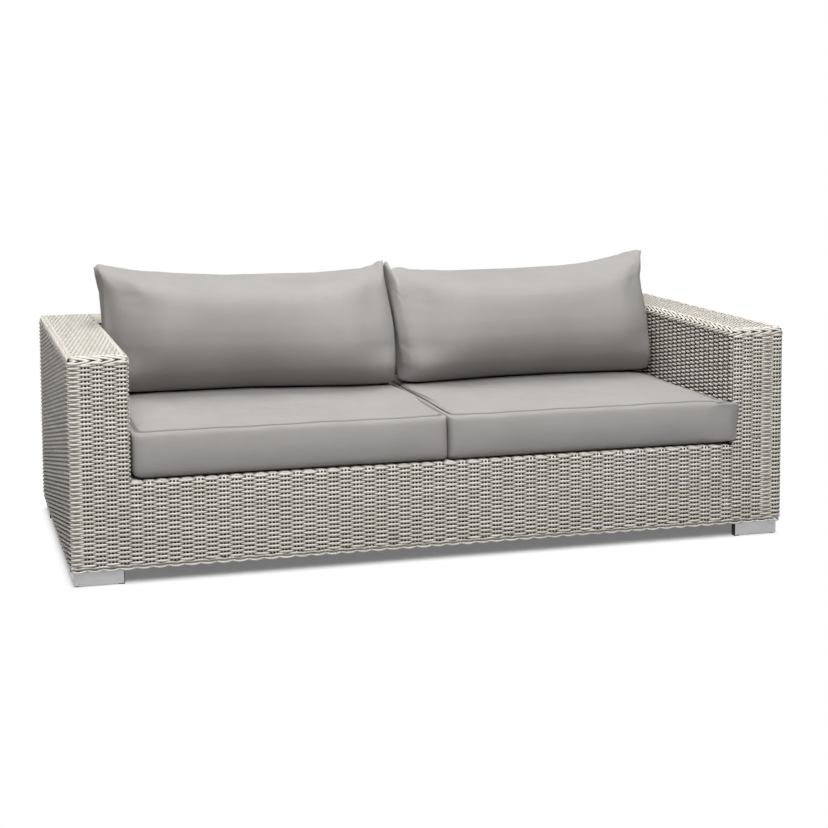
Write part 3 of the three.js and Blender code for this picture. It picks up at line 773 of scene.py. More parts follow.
def buildWalls():
    rowZ = weave["firstRowZ"] - weave["rowPitch"] / 2
    leftStops = [(-sideX, rearY - outerRadius, 0), (-sideX, frontY, outerRadius), (-turnX, frontY, 0)]
    rightStops = [(turnX, frontY, 0), (sideX, frontY, outerRadius), (sideX, rearY - outerRadius, 0)]
    for side, stops, bare, slim in (("left", leftStops, 31, (-1, 31)), ("right", rightStops, 3, (5, 37))):
        hang(
            f"{side}_side_weave", stops, wallColumns["side"], wallRows, weave["outerSink"], rowZ,
            [f"{side}_outer_side_panel", f"{side}_arm_front_panel"], bare=(bare,),
            rowKey=rowKeys[f"{side}_side"], slim=(*slim, weave["sideSlim"]), sunk=weave["frontShadeOffset"],
        )
    rearRight = [(sideX, rearY - outerRadius, 0), (sideX, rearY, outerRadius), (0, rearY, 0)]
    rearLeft = [(0, rearY, 0), (-sideX, rearY, outerRadius), (-sideX, rearY - outerRadius, 0)]
    for side, stops, phase in (("right", rearRight, 0), ("left", rearLeft, 1)):
        hang(
            f"{side}_rear_weave", stops, wallColumns["rear"], wallRows, weave["outerSink"], rowZ,
            ["back_outer_panel"], phase=phase, rowKey=rowKeys["rear"],
        )
    print("outer walls woven")

    inner = sofa["armInnerX"]
    lay(
        "apron_weave", 2 * turnX, wallColumns["apron"], seatRows, upright,
        (-turnX, frontY + weave["outerSink"], rowZ), ["front_apron_panel"],
        rowKey=rowKeys["apron"], sunk=weave["frontShadeOffset"],
    )
    lay(
        "apron_ledge_weave", 2 * inner, wallColumns["apron"], weave["ledgeRows"], level,
        (-inner, frontY + weave["ledgeInset"], sofa["deckZ"] - weave["cushionSink"]), [],
        rowKey=rowKeys["ledge"], phase=1,
    )
    firstRow = seatRows + 1
    innerRowZ = rowZ + firstRow * weave["rowPitch"]
    innerRows = wallRows - firstRow
    leftInner = [(-turnX, frontY, 0), (-inner, frontY, outerRadius), (-inner, sofa["backInnerY"], 0)]
    rightInner = [(inner, sofa["backInnerY"], 0), (inner, frontY, outerRadius), (turnX, frontY, 0)]
    for side, stops in (("left", leftInner), ("right", rightInner)):
        hang(
            f"{side}_arm_inner_weave", stops, wallColumns["armInner"], innerRows, weave["innerSink"],
            innerRowZ, [f"{side}_arm_inner_panel"], firstRow=firstRow, rowKey=rowKeys["armInner"],
            slim=(-1, 25, weave["innerSlim"]),
        )
    lay(
        "back_inner_weave", 2 * inner, wallColumns["backInner"], innerRows, upright,
        (-inner, sofa["backInnerY"] + weave["cushionSink"], innerRowZ), ["back_inner_panel"],
        firstRow=firstRow, rowKey=rowKeys["backInner"],
    )
    print("inner walls woven")


tops = {
    "borderDepth": 0.0155,
    "armRows": 22,
    "armColumns": 29,
    "backRows": 28,
    "backColumns": 53,
    "relief": 0.35,
    "shade": 0.2,
    "sunk": 0.0012,
    "backDrop": 0.0004,
}


def buildTops():
    border, pitch = tops["borderDepth"], weave["rowPitch"]
    # Tops have flattened strands, and the shade offset darkens their colour evenly as painted shade
    flat = {key: tops[key] for key in ("relief", "shade", "sunk")}
    armDepth = tops["armRows"] * pitch
    armStart = sofa["armInnerX"] + (sideX - sofa["armInnerX"] - armDepth) / 2
    for side, rightEdge in (("left", -armStart), ("right", armStart + armDepth)):
        lay(
            f"{side}_arm_top_weave", rearY - frontY - 2 * border, tops["armColumns"], tops["armRows"],
            alongArm, (rightEdge, frontY + border, sofa["topZ"]), [f"{side}_arm_top_panel"],
            rowKey=rowKeys["armTop"], **flat,
        )
    width = 2 * sofa["armInnerX"] + 2 * border
    startY = (sofa["backInnerY"] + rearY - tops["backRows"] * pitch) / 2
    lay(
        "back_top_weave", width, tops["backColumns"], tops["backRows"], level,
        (-width / 2, startY, sofa["topZ"] - tops["backDrop"]), ["back_top_panel"],
        rowKey=rowKeys["backTop"], **flat,
    )
    print("tops woven")


deck = {"columns": 37, "rows": 60, "pitch": 0.0119, "stretch": 1.9}


def buildDeck():
    # Broad flat strand woven across the seat, under the cushions
    low, high = boxOf("seat_deck_panel")
    lay(
        "seat_deck_weave", high.x - low.x, deck["columns"], deck["rows"], level,
        (low.x, low.y, high.z - weave["cushionSink"]), ["seat_deck_panel"],
        pitch=deck["pitch"], scale=deck["stretch"], rowKey=rowKeys["deck"],
    )
    print("deck woven")


shadeBacking = {
    "nearDepth": 0.0056,
    "farDepth": 0.0074,
    "margin": 0.012,
    "facings": [
        ("left_outer_side_panel", 0, -1),
        ("right_outer_side_panel", 0, 1),
        ("left_arm_front_panel", 1, -1),
        ("right_arm_front_panel", 1, -1),
        ("left_arm_inner_panel", 0, 1),
        ("right_arm_inner_panel", 0, -1),
        ("left_arm_top_panel", 2, 1),
        ("right_arm_top_panel", 2, 1),
        ("front_apron_panel", 1, -1),
        ("back_outer_panel", 1, 1),
        ("back_inner_panel", 1, -1),
        ("back_top_panel", 2, 1),
        ("seat_deck_panel", 2, 1),
    ],
}


def buildShadeBackings():
    # A dark sheet inside each panel, which closes the view through its weave and stands in, as painted shade,
    # for the dark inside
    sheets = []
    for node, axis, outward in shadeBacking["facings"]:
        low, high = boxOf(node)
        face = high[axis] if outward > 0 else low[axis]
        margin = Vector((shadeBacking["margin"],) * 3)
        low, high = low + margin, high - margin
        near, far = face - outward * shadeBacking["nearDepth"], face - outward * shadeBacking["farDepth"]
        low[axis], high[axis] = min(near, far), max(near, far)
        bpy.ops.mesh.primitive_cube_add(size=1, location=(low + high) / 2)
        sheet = bpy.context.object
        sheet.scale = high - low
        applyPlace(sheet)
        sheets.append(sheet)
    inner = joinAll("panel_shade_backings", sheets)
    dress(inner, shadeBackingMaterial)
    rideAsWeave(inner)
    print("panels lined")


# Plaited border along every top edge, and the braid along the bottom

rim = {
    "spacing": 0.0332,
    "run": 0.066,
    "reach": 0.0135,
    "width": 0.0068,
    "thick": 0.0044,
    "proud": 0.0026,
    "spine": 0.0105,
    "slant": 32,
    "slantReach": 0.0125,
    "slantStart": 0.0078,
    "edgeStrands": [0.0108, 0.0150],
    "edgeWidth": 0.0044,
    "edgeHeight": 0.7,
    "edgeSink": -0.0004,
    "edgeShade": -0.0005,
    "stations": [
        (0.0, 0.5, 0.0035), (0.14, 0.9, 0.0010), (0.5, 1.0, 0.0), (0.86, 0.9, 0.0006), (1.0, 0.5, 0.0030),
    ],
    "sides": 6,
    "coreDepth": 0.0040,
    "coreReach": 0.0175,
    "coreStep": 0.008,
    "coreShade": 0.0052,
    "toneShare": 0.2,
}


def makeStroke(upper):
    # One slanting end of strand; the upper ones come down over the edge, the lower ones rise to meet them
    run, width, thick = rim["run"], rim["width"], rim["thick"]
    reach = rim["slantReach"] if upper else rim["reach"]
    stations = rim["stations"]
    stroke = makeRing(rim["sides"], width, thick, fill="NGON")
    startEdit(stroke)
    share, size, sink = stations[0]
    bpy.ops.transform.resize(value=(1, size, size), center_override=(0, 0, 0))
    lastShare, lastSize, lastSink = share, size, sink
    for share, size, sink in stations[1:]:
        move = ((share - lastShare) * run, sink - lastSink, (share - lastShare) * reach)
        bpy.ops.mesh.extrude_region_move(TRANSFORM_OT_translate={"value": move})
        ratio = size / lastSize
        centre = (share * run, sink - stations[0][2], share * reach)
        bpy.ops.transform.resize(value=(1, ratio, ratio), center_override=centre)
        lastShare, lastSize, lastSink = share, size, sink
    bpy.ops.mesh.select_all(action="SELECT")
    endEdit(outwards=True)
    sinkNow = stations[0][2] + thick / 2 - rim["proud"]
    if upper:
        lean = math.radians(rim["slant"])
        inward = Vector((0, math.cos(lean), -math.sin(lean)))
        downward = Vector((0, -math.sin(lean), -math.cos(lean)))
        origin = Vector((0, rim["slantStart"], 0)) + inward * sinkNow
        turnTo(stroke, (1, 0, 0), inward, downward, origin)
        startEdit(stroke)
        endEdit(outwards=True)
    else:
        stroke.location = (0, sinkNow, -reach - rim["spine"])
        applyPlace(stroke)
    return stroke


def closeEnds(strand, sides):
    startEdit(strand)
    bpy.ops.mesh.fill_holes(sides=sides)
    endEdit(outwards=True)


def makeEdgeStrand(length, inset, index):
    # A strand laid straight beside the slanting ends, along the top of the edge
    count = round(length / rim["coreStep"])
    step = length / count
    width = rim["edgeWidth"]
    strand = makeRing(rim["sides"], width * rim["edgeHeight"], width, (0, inset, rim["edgeSink"]))
    startEdit(strand)
    bpy.ops.mesh.extrude_edges_move(TRANSFORM_OT_translate={"value": (step, 0, 0)})
    endEdit()
    repeat(strand, count, (step, 0, 0), merge=True)
    closeEnds(strand, rim["sides"])
    # Painted shade: the strand's colour darkens towards its lower side
    markStrands(strand, strandKeys["edge"] + index, rim["edgeShade"] - pointsOf(strand)[:, 2])
    return strand


def makeRimCore(length):
    # The wrapped edge under the slanting ends, painted dark between them as shade
    reach, deep = rim["coreReach"], rim["coreDepth"]
    count = round(length / rim["coreStep"])
    step = length / count
    bpy.ops.mesh.primitive_plane_add(
        size=1, location=(step / 2, deep, -(reach + deep) / 2), rotation=(math.pi / 2, 0, 0)
    )
    core = bpy.context.object
    core.scale = (step, reach - deep, 1)
    applyPlace(core)
    topEdge = [vertex.index for vertex in core.data.vertices if vertex.co.z > -deep - 0.0001]
    bpy.ops.object.mode_set(mode="EDIT")
    bpy.ops.mesh.select_all(action="DESELECT")
    bpy.ops.object.mode_set(mode="OBJECT")
    for edge in core.data.edges:
        edge.select = all(index in topEdge for index in edge.vertices)
    bpy.ops.object.mode_set(mode="EDIT")
    bpy.ops.mesh.select_mode(type="EDGE")
    bpy.ops.mesh.extrude_edges_move(TRANSFORM_OT_translate={"value": (0, reach - deep, 0)})
    bpy.ops.mesh.select_mode(type="VERT")
    bpy.ops.object.mode_set(mode="OBJECT")
    repeat(core, count, (step, 0, 0), merge=True)
    markStrands(core, strandKeys["core"], rim["coreShade"])
    return core


def buildRimBorder():
    inner, backY = sofa["armInnerX"], sofa["backInnerY"]
    hollow = sofa["innerCornerRadius"]
    stops = [
        (-sideX, rearY, outerRadius), (-sideX, frontY, outerRadius), (-inner, frontY, outerRadius),
        (-inner, backY, hollow), (inner, backY, hollow), (inner, frontY, outerRadius),
        (sideX, frontY, outerRadius), (sideX, rearY, outerRadius),
    ]
    length = pathLength(stops, closed=True)
    count = round(length / rim["spacing"])
    spacing = length / count
    parts = []
    for upper in (True, False):
        stroke = makeStroke(upper)
        each = len(stroke.data.vertices)
        repeat(stroke, count, (spacing, 0, 0))
        # Painted shade: each stroke's depth into the edge darkens its colour
        places = pointsOf(stroke)
        depths = places[:, 1]
        if upper:
            lean = math.radians(rim["slant"])
            depths = (depths - rim["slantStart"]) * math.cos(lean) - places[:, 2] * math.sin(lean)
        index = np.arange(len(places)) // each
        markStrands(stroke, strandKeys["rim"] + index * 2 + upper, depths, rim["toneShare"])
        parts.append(stroke)
    parts += [makeEdgeStrand(length, inset, index) for index, inset in enumerate(rim["edgeStrands"])]
    parts.append(makeRimCore(length))
    border = joinAll("rim_border", parts)
    dress(border, strandMaterial)
    smooth(border)
    border.location.z = sofa["topZ"]
    applyPlace(border)
    wrapAlong(border, stops, closed=True)
    rideAsWeave(border)
    print("rim bordered")


braid = {
    "period": 0.132,
    "strands": 3,
    "sides": 6,
    "steps": 20,
    "rise": 0.0058,
    "sway": 0.0027,
    "width": 0.0058,
    "thick": 0.0046,
    "centreZ": 0.0482,
    "depth": 0.0036,
    "shade": 0.6,
    "lift": 0.001,
}


def buildBottomBraid():
    stops = [
        (-sideX, rearY, outerRadius), (-sideX, frontY, outerRadius),
        (sideX, frontY, outerRadius), (sideX, rearY, outerRadius),
    ]
    length = pathLength(stops, closed=True)
    count = round(length / braid["period"])
    period = length / count
    parts = []
    for strandIndex in range(braid["strands"]):
        shift = strandIndex / braid["strands"]
        strand = makeRing(braid["sides"], braid["width"], braid["thick"])

        def placeAt(share):
            angle = 2 * math.pi * (share + shift)
            sway, rise = braid["sway"] * math.cos(2 * angle), braid["rise"] * math.sin(angle)
            return Vector((share * period, sway, rise))

        strand.location = placeAt(0)
        applyPlace(strand)
        startEdit(strand)
        for step in range(braid["steps"]):
            move = placeAt((step + 1) / braid["steps"]) - placeAt(step / braid["steps"])
            bpy.ops.mesh.extrude_edges_move(TRANSFORM_OT_translate={"value": move})
        endEdit()
        repeat(strand, count, (period, 0, 0), merge=True)
        closeEnds(strand, braid["sides"])
        # Painted shade: the braid's colour darkens the further inwards it lies, lightened a little by the
        # lift
        depths = (pointsOf(strand)[:, 1] + braid["depth"]) * braid["shade"] - braid["lift"]
        markStrands(strand, strandKeys["braid"] + strandIndex, depths)
        parts.append(strand)
    edge = joinAll("bottom_braid", parts)
    dress(edge, strandMaterial)
    smooth(edge)
    edge.location = (0, braid["depth"], braid["centreZ"])
    applyPlace(edge)
    wrapAlong(edge, stops, closed=True)
    rideAsWeave(edge)
    print("bottom braided")


buildWalls()
buildTops()
buildDeck()
buildShadeBackings()
buildRimBorder()
buildBottomBraid()

# Cushions: each cover starts a little slim and swells like a filled one

cover = {
    "slim": 0.011,
    "holdReach": 0.032,
    "pressure": 4.0,
    "frames": 20,
    "seatSoftness": 0.0045,
    "backSoftness": 0.012,
    "evening": 5,
    "endReach": 0.22,
    "gap": 0.0006,
    "weldReach": 0.0001,
    "heldFrom": 0.02,
    "quality": 4,
    "endSlices": 25,
    "topSlices": 90,
}


def readNormals(obj):
    normals = np.empty(len(obj.data.vertices) * 3, dtype=np.float32)
    obj.data.vertices.foreach_get("normal", normals)
    return normals.reshape(-1, 3)


def evenCopy(name, node, voxel):
    # The solid's own shape with an even mesh, as the start of a cover
    cushion = bpy.data.objects.new(name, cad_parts[node].data.copy())
    bpy.context.collection.objects.link(cushion)
    startEdit(cushion)
    bpy.ops.mesh.remove_doubles(threshold=cover["weldReach"])
    endEdit()
    even = cushion.modifiers.new("even mesh", "REMESH")
    even.mode = "VOXEL"
    even.voxel_size = voxel
    applyModifiers(cushion)
    return cushion


def evenOut(cushion):
    startEdit(cushion)
    bpy.ops.mesh.vertices_smooth(factor=0.5, repeat=cover["evening"])
    endEdit()


def swell(cushion, hold, softness):
    # Draws the cover in away from its seams and lets the filling push it out again
    full = pointsOf(cushion)
    setPoints(cushion, full - readNormals(cushion) * cover["slim"] * (1 - hold)[:, None])
    seams = cushion.vertex_groups.new(name="seams")
    for index in np.flatnonzero(hold > cover["heldFrom"]):
        seams.add([int(index)], float(hold[index]), "REPLACE")
    cloth = cushion.modifiers.new("filling", "CLOTH")
    cloth.settings.quality = cover["quality"]
    cloth.settings.use_pressure = True
    cloth.settings.uniform_pressure_force = cover["pressure"]
    cloth.settings.effector_weights.gravity = 0
    cloth.settings.vertex_group_mass = "seams"
    cloth.point_cache.frame_end = cover["frames"]
    for frameNumber in range(1, cover["frames"] + 1):
        bpy.context.scene.frame_set(frameNumber)
    applyModifiers(cushion)
    bpy.context.scene.frame_set(1)
    cushion.vertex_groups.clear()
    # It keeps within a soft distance of its full form
    away = pointsOf(cushion) - full
    far = np.linalg.norm(away, axis=1, keepdims=True) + 1e-9
    print(cushion.name, "lay at most", round(float(far.max()) * 1000, 1), "mm from its full form")
    setPoints(cushion, full + away / far * softness * np.tanh(far / softness))
    evenOut(cushion)
    finer = cushion.modifiers.new("finer", "SUBSURF")
    finer.levels = finer.render_levels = 1
    applyModifiers(cushion)


def cutSeam(cushion, place, normal, half, acrossOf, lift):
    # Three cuts along the seam, and the middle one is drawn in or raised
    for shift in (-half, 0, half):
        startEdit(cushion)
        bpy.ops.mesh.bisect(plane_co=Vector(place) + Vector(normal) * shift, plane_no=normal)
        endEdit()
    places = pointsOf(cushion)
    across = acrossOf(places)
    share = np.clip(1 - np.abs(across) / half, 0, 1)
    setPoints(cushion, places + readNormals(cushion) * (lift * share)[:, None])
    marks = np.zeros_like(places)
    marks[:, 0] = across
    writeMarks(cushion, "seam_place", marks)


def edgeOver(keys, values, edges, least):
    # The highest value near each key, from slices between evenly spaced edges
    bins = np.linspace(keys.min(), keys.max(), edges)
    owner = np.clip(np.searchsorted(bins, keys) - 1, 0, edges - 2)
    highest = np.full(edges - 1, least)
    np.maximum.at(highest, owner, values)
    return np.interp(keys, (bins[1:] + bins[:-1]) / 2, highest)


def fitEnd(places, sign, line):
    # Moves one end of a cushion to the X that the (Z, X) line gives at each height
    x, z = places[:, 0], places[:, 2]
    heights, targets = zip(*line)
    end = edgeOver(z, sign * x, cover["endSlices"], -9.0)
    share = easeStep(sign * x - end, -cover["endReach"], 0)
    x += sign * (np.interp(z, heights, targets) * sign - end) * share


def finishCover(cushion, node):
    smooth(cushion)
    dress(cushion, fabricMaterial)
    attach(cushion, node)
    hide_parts(node)


seatCover = {
    "voxel": 0.010,
    "seamZ": 0.410,
    "underside": 0.004,
    "crown": 0.0138,
    "seamHalf": 0.0016,
    "seamDepth": -0.0012,
    "waveHeight": 0.0010,
    "waveReach": 0.02,
    "waveRates": (31, 13, 17),
    "frontRun": 0.06,
    "sideBulge": 0.0010,
    "frontBulge": 0.013,
    "bulgeLow": 0.7,
    "bulgeSquare": 0.8,
    "lapReach": 0.10,
    "lapForward": 0.0300,
    "lapSquare": 0.045,
    "lapPower": 0.85,
    "lapLeast": 0.2,
    "lapHeights": (0.02, 0.14),
    "lapRise": 0.12,
    "lapBefore": (0.006, 0.014),
    "lapLine": [
        (0.282, 0.888), (0.292, 0.900), (0.312, 0.905), (0.396, 0.906), (0.410, 0.901), (0.424, 0.890),
    ],
    "fill": 0.9,
    "endLine": {
        "left": [(0.28, 0.0135), (0.42, 0.0140)],
        "right": [(0.28, 0.0155), (0.42, 0.0150)],
    },
}


def makeSeatCushion(side):
    node = f"{side}_seat_cushion"
    low, high = boxOf(node)
    seamZ = seatCover["seamZ"]
    cushion = evenCopy(f"{side}_seat_cover", node, seatCover["voxel"])
    places = pointsOf(cushion)
    sides = [places[:, 0] - low.x, high.x - places[:, 0], places[:, 1] - low.y, high.y - places[:, 1]]
    inset = np.clip(np.minimum.reduce(sides), 0, None)
    toSeam = np.hypot(places[:, 2] - seamZ, inset)
    lying = easeStep(-places[:, 2], -low.z - seatCover["underside"], -low.z)
    hold = np.clip(np.maximum(1 - toSeam / cover["holdReach"], lying), 0, 1)
    swell(cushion, hold, cover["seatSoftness"])

    def overSeam(spots):
        return spots[:, 2] - seamZ

    cutSeam(cushion, (0, 0, seamZ), (0, 0, 1), seatCover["seamHalf"], overSeam, seatCover["seamDepth"])
    # Back into its space: flat where it lies, upright at the sides, a fuller front
    places = pointsOf(cushion)
    limits = [(low.x, high.x, seatCover["sideBulge"]), (low.y, high.y, seatCover["sideBulge"])]
    for axis, (least, most, give) in enumerate(limits):
        under = np.clip(least - places[:, axis], 0, None)
        over = np.clip(places[:, axis] - most, 0, None)
        places[:, axis] += under - over - give * np.tanh(under / give) + give * np.tanh(over / give)
    x, y, z = places.T
    share = np.clip((z - low.z) / (seamZ - low.z), 0, 1)
    atFront = 1 - easeStep(y, low.y, low.y + seatCover["frontRun"])
    arch = np.clip(np.sin(share ** seatCover["bulgeLow"] * math.pi), 0, 1)
    bulge = seatCover["frontBulge"] * arch ** seatCover["bulgeSquare"]
    y -= bulge * atFront
    if side == "right":
        # Its front corner is squeezed out square, past the round edge of the arm
        square = seatCover["lapSquare"]
        besideX = (x - high.x + square) / square
        beforeY = (low.y + square - y) / square
        most = np.clip(np.maximum(besideX, beforeY), seatCover["lapLeast"], 1)
        corner = (besideX > 0) & (beforeY > 0)
        raised = easeStep(share, *seatCover["lapHeights"])
        stretch = np.where(corner, most ** -seatCover["lapPower"], 1) * raised + 1 - raised
        x[:] = np.where(corner, high.x - square + square * besideX * stretch, x)
        y[:] = np.where(corner, low.y + square - square * beforeY * stretch, y)
        nearArm = easeStep(x, high.x - seatCover["lapReach"], high.x) * atFront
        lap = np.clip(seatCover["lapForward"] - bulge, 0, 1)
        y -= lap * nearArm * easeStep(share, 0, seatCover["lapRise"])
        # The squeezed part ends in line, and blends into the rest
        fitted = places.copy()
        near, far = seatCover["lapBefore"]
        before = fitted[:, 1] < low.y - near
        squeezed = fitted[before]
        fitEnd(squeezed, 1, seatCover["lapLine"])
        fitted[before] = squeezed
        x += (fitted[:, 0] - x) * easeStep(-y, -low.y + near, -low.y + far)
    over = z > seamZ
    rise = (z[over] - seamZ) / (z.max() - seamZ)
    z[over] = seamZ + seatCover["crown"] * np.sin(rise * math.pi / 2)
    # The seam wavers a little
    rateX, slowX, slowY = seatCover["waveRates"]
    wave = np.sin(x * rateX) * np.cos(x * slowX + y * slowY)
    nearSeam = np.exp(-(((z - seamZ) / seatCover["waveReach"]) ** 2))
    z += wave * seatCover["waveHeight"] * nearSeam
    z[:] = np.clip(z, low.z, high.z)
    fitEnd(places, 1 if side == "left" else -1, seatCover["endLine"][side])
    setPoints(cushion, places)
    finishCover(cushion, node)


backCover = {
    "voxel": 0.008,
    "footY": 0.165,
    "headY": 0.238,
    "height": 0.336,
    "seamHalf": 0.0022,
    "seamRise": 0.0018,
    "footFront": 0.075,
    "endSlim": 0.34,
    "endRun": 0.20,
    "endHeights": (0.05, 0.4),
    "footHeights": (0.15, 1.0),
    "fullness": [
        (0, 0.94), (0.03, 0.94), (0.0765, 0.97), (0.115, 1.01), (0.166, 1.06), (0.225, 1.10), (0.29, 1.12),
        (0.37, 1.145), (0.48, 1.17), (0.58, 1.24), (0.69, 1.38), (0.78, 1.58), (0.85, 1.82), (0.91, 2.1),
        (0.954, 2.4), (1.0, 2.5),
    ],
    "belly": [
        (0, 0), (0.092, 0.004), (0.16, 0.010), (0.226, 0.0165), (0.277, 0.0215), (0.325, 0.0265),
        (0.42, 0.0345), (0.51, 0.0385), (0.61, 0.0365), (0.70, 0.0300), (0.82, 0.0200), (0.94, 0.010),
        (1.0, 0.002),
    ],
    "bellyDepth": 0.03,
    "foldSlope": 0.15,
    "foldDepths": (0.004, 0.02),
    "underside": 0.004,
    "lyingHold": 0.6,
    "fullSpread": 0.035,
    "bellySpread": 0.03,
    "overRim": 0.01,
    "bluntRun": 0.075,
    "bluntDepths": (0.004, 0.03),
    "bluntHeights": (0.1, 0.6),
    "blunt": {"left": 0.0, "right": 0.7},
    "fill": 0.75,
    "folds": {
        "left": [
            (0.012, 0.045, 0.505, 0.006, 0.0050), (0.012, 0.040, 0.478, 0.006, 0.0045),
            (0.012, 0.030, 0.735, 0.006, 0.0035),
        ],
        "right": [
            (0.016, 0.050, 0.723, 0.006, 0.0050), (0.016, 0.060, 0.702, 0.007, 0.0055),
            (0.020, 0.060, 0.545, 0.007, 0.0050), (0.020, 0.050, 0.478, 0.006, 0.0045),
            (0.884, 0.060, 0.715, 0.007, 0.0040),
        ],
    },
    "topLine": {
        "left": [
            (-0.903, 0.802), (-0.89, 0.812), (-0.85, 0.801), (-0.775, 0.786), (-0.62, 0.772), (-0.5, 0.764),
            (-0.2, 0.763), (-0.06, 0.771), (-0.02, 0.782), (0.002, 0.798), (0.012, 0.797),
        ],
        "right": [
            (0.012, 0.782), (0.020, 0.797), (0.027, 0.796), (0.037, 0.764), (0.05, 0.770), (0.073, 0.772),
            (0.106, 0.763), (0.231, 0.756), (0.45, 0.756), (0.62, 0.761), (0.71, 0.768), (0.80, 0.784),
            (0.895, 0.808), (0.918, 0.799),
        ],
    },
    "footLine": {
        "left": [(-0.88, 0.077), (-0.45, 0.080), (-0.15, 0.015), (0, 0.0)],
        "right": [
            (0, -0.015), (0.07, 0.0), (0.15, 0.018), (0.34, 0.052), (0.53, 0.060), (0.67, 0.048),
            (0.88, 0.028),
        ],
    },
    "innerLine": {
        "left": [(0.424, 0.013), (0.6, 0.011), (0.7, 0.0135), (0.79, 0.0130)],
        "right": [(0.424, 0.0160), (0.6, 0.0190), (0.7, 0.0155), (0.74, 0.0142), (0.79, 0.0134)],
    },
    "outerLine": {
        "left": [(0.424, -0.884), (0.63, -0.885), (0.70, -0.889), (0.79, -0.904)],
        "right": [(0.424, 0.884), (0.47, 0.881), (0.53, 0.874), (0.63, 0.872), (0.70, 0.880), (0.79, 0.906)],
    },
}


def makeBackCushion(side):
    node = f"{side}_back_cushion"
    low = boxOf(node)[0]
    foot, head, height = backCover["footY"], backCover["headY"], backCover["height"]
    cushion = evenCopy(f"{side}_back_cover", node, backCover["voxel"])

    def upOf(spots):
        return (spots[:, 2] - low.z) / height

    def depthOf(spots):
        # How far a point stands in front of the tilted plane of the seam
        return foot + upOf(spots) * (head - foot) - spots[:, 1]

    places = pointsOf(cushion)
    lying = backCover["lyingHold"] * easeStep(-places[:, 2], -low.z - backCover["underside"], -low.z)
    hold = np.clip(np.maximum(1 - np.abs(depthOf(places)) / cover["holdReach"], lying), 0, 1)
    swell(cushion, hold, cover["backSoftness"])
    tilt = Vector((0, -height, head - foot)).normalized()
    cutSeam(cushion, (0, foot, low.z), tilt, backCover["seamHalf"], depthOf, backCover["seamRise"])

    places = pointsOf(cushion)
    # Ends as they stand in the photograph: against each other and against the arms
    inward = 1 if side == "left" else -1
    fitEnd(places, inward, backCover["innerLine"][side])
    fitEnd(places, -inward, backCover["outerLine"][side])
    x, y, z = places.T
    up, depth = upOf(places), depthOf(places)
    foldDepth = np.zeros(len(places))
    for start, reach, foldZ, half, deep in backCover["folds"][side]:
        # Creases drawn in from the end seams, fading along their length
        away = np.abs(x - start)
        line = np.exp(-(((z - foldZ + backCover["foldSlope"] * away) / half) ** 2))
        fading = 1 - easeStep(away, 0, reach)
        foldDepth += deep * line * fading * easeStep(depth, *backCover["foldDepths"])
    # Where it presses on its neighbour the right one's upper corner is blunt
    toInner = np.clip(inward * (backCover["innerLine"][side][0][1] - x), 0, 1)
    bluntShare = backCover["blunt"][side] * easeStep(depth, *backCover["bluntDepths"])
    bluntShare *= easeStep(up, *backCover["bluntHeights"])
    pressed = bluntShare * (1 - easeStep(toInner, 0, backCover["bluntRun"]))
    x += inward * toInner * pressed
    # Fuller than the solid, but less so towards its two ends
    toEnd = np.minimum(x - x.min(), x.max() - x)
    nearEnd = 1 - easeStep(toEnd, 0, backCover["endRun"])
    slimmer = 1 - backCover["endSlim"] * nearEnd * easeStep(up, *backCover["endHeights"])
    fuller = depth * slimmer * softLine(up, backCover["fullness"], backCover["fullSpread"])
    belly = softLine(up, backCover["belly"], backCover["bellySpread"])
    fuller += belly * slimmer * easeStep(depth, 0, backCover["bellyDepth"])
    depth = np.where(depth > 0, fuller, depth) - foldDepth
    # Top line with its ears
    topX, topZ = zip(*backCover["topLine"][side])
    nowTop = edgeOver(x, z, cover["topSlices"], low.z)
    newUp = up * (np.interp(x, topX, topZ) - low.z) / (nowTop - low.z)
    # The foot stands forward of the CAD's by as much as the photograph shows
    footX, footY = zip(*backCover["footLine"][side])
    forward = backCover["footFront"] - np.interp(x, footX, footY)
    forward *= 1 - easeStep(newUp, *backCover["footHeights"])
    y[:] = foot + newUp * (head - foot) - depth - forward
    z[:] = np.maximum(low.z + newUp * height, low.z)
    below = z < sofa["topZ"] + backCover["overRim"]
    y[below] = np.minimum(y[below], sofa["backInnerY"] - cover["gap"])
    armLimit = sofa["armInnerX"] - cover["gap"]
    x[below] = np.clip(x[below], -armLimit, armLimit)
    setPoints(cushion, places)
    evenOut(cushion)
    finishCover(cushion, node)


for side in ("left", "right"):
    makeSeatCushion(side)
    makeBackCushion(side)
print("cushions filled")

# Frame, feet and caps keep their own solids

for node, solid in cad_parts.items():
    material = None
    if node.endswith("_foot"):
        material = footMaterial
    elif node.endswith("_cap"):
        material = glideMaterial
    elif "rail" in node or "post" in node or "hoop" in node or "bearer" in node:
        material = tubeMaterial
    if material:
        dress(solid, material)

glide = {
    "x": 1.033,
    "y": 0.478,
    "radius": 0.0065,
    "height": 0.003,
    "round": 0.0006,
    "sides": 32,
    "sharpAngle": 40,
}


def makeCornerGlides():
    # A small disc under the outer corner of each foot
    discs = []
    for sideways in (-1, 1):
        for ahead in (-1, 1):
            bpy.ops.mesh.primitive_cylinder_add(
                vertices=glide["sides"],
                radius=glide["radius"],
                depth=glide["height"],
                location=(sideways * glide["x"], ahead * glide["y"], glide["height"] / 2),
            )
            disc = bpy.context.object
            applyPlace(disc)
            rounding = disc.modifiers.new("rounding", "BEVEL")
            rounding.width = glide["round"]
            rounding.segments = 2
            applyModifiers(disc)
            discs.append(disc)
    glides = joinAll("corner_glides", discs)
    dress(glides, glideMaterial)
    smooth(glides, glide["sharpAngle"])
    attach(glides, sofaBody)


makeCornerGlides()
print("glides set")

# Camera at the photograph's view

view = {
    "place": (-1.42664, -5.18612, 1.28488),
    "yaw": 15.914,
    "pitch": 5.269,
    "roll": -0.282,
    "focalPixels": 1755.87,
    "imagePixels": 828,
    "axisRow": 268.28,
    "sensor": 36,
    "clipEnd": 60,
}


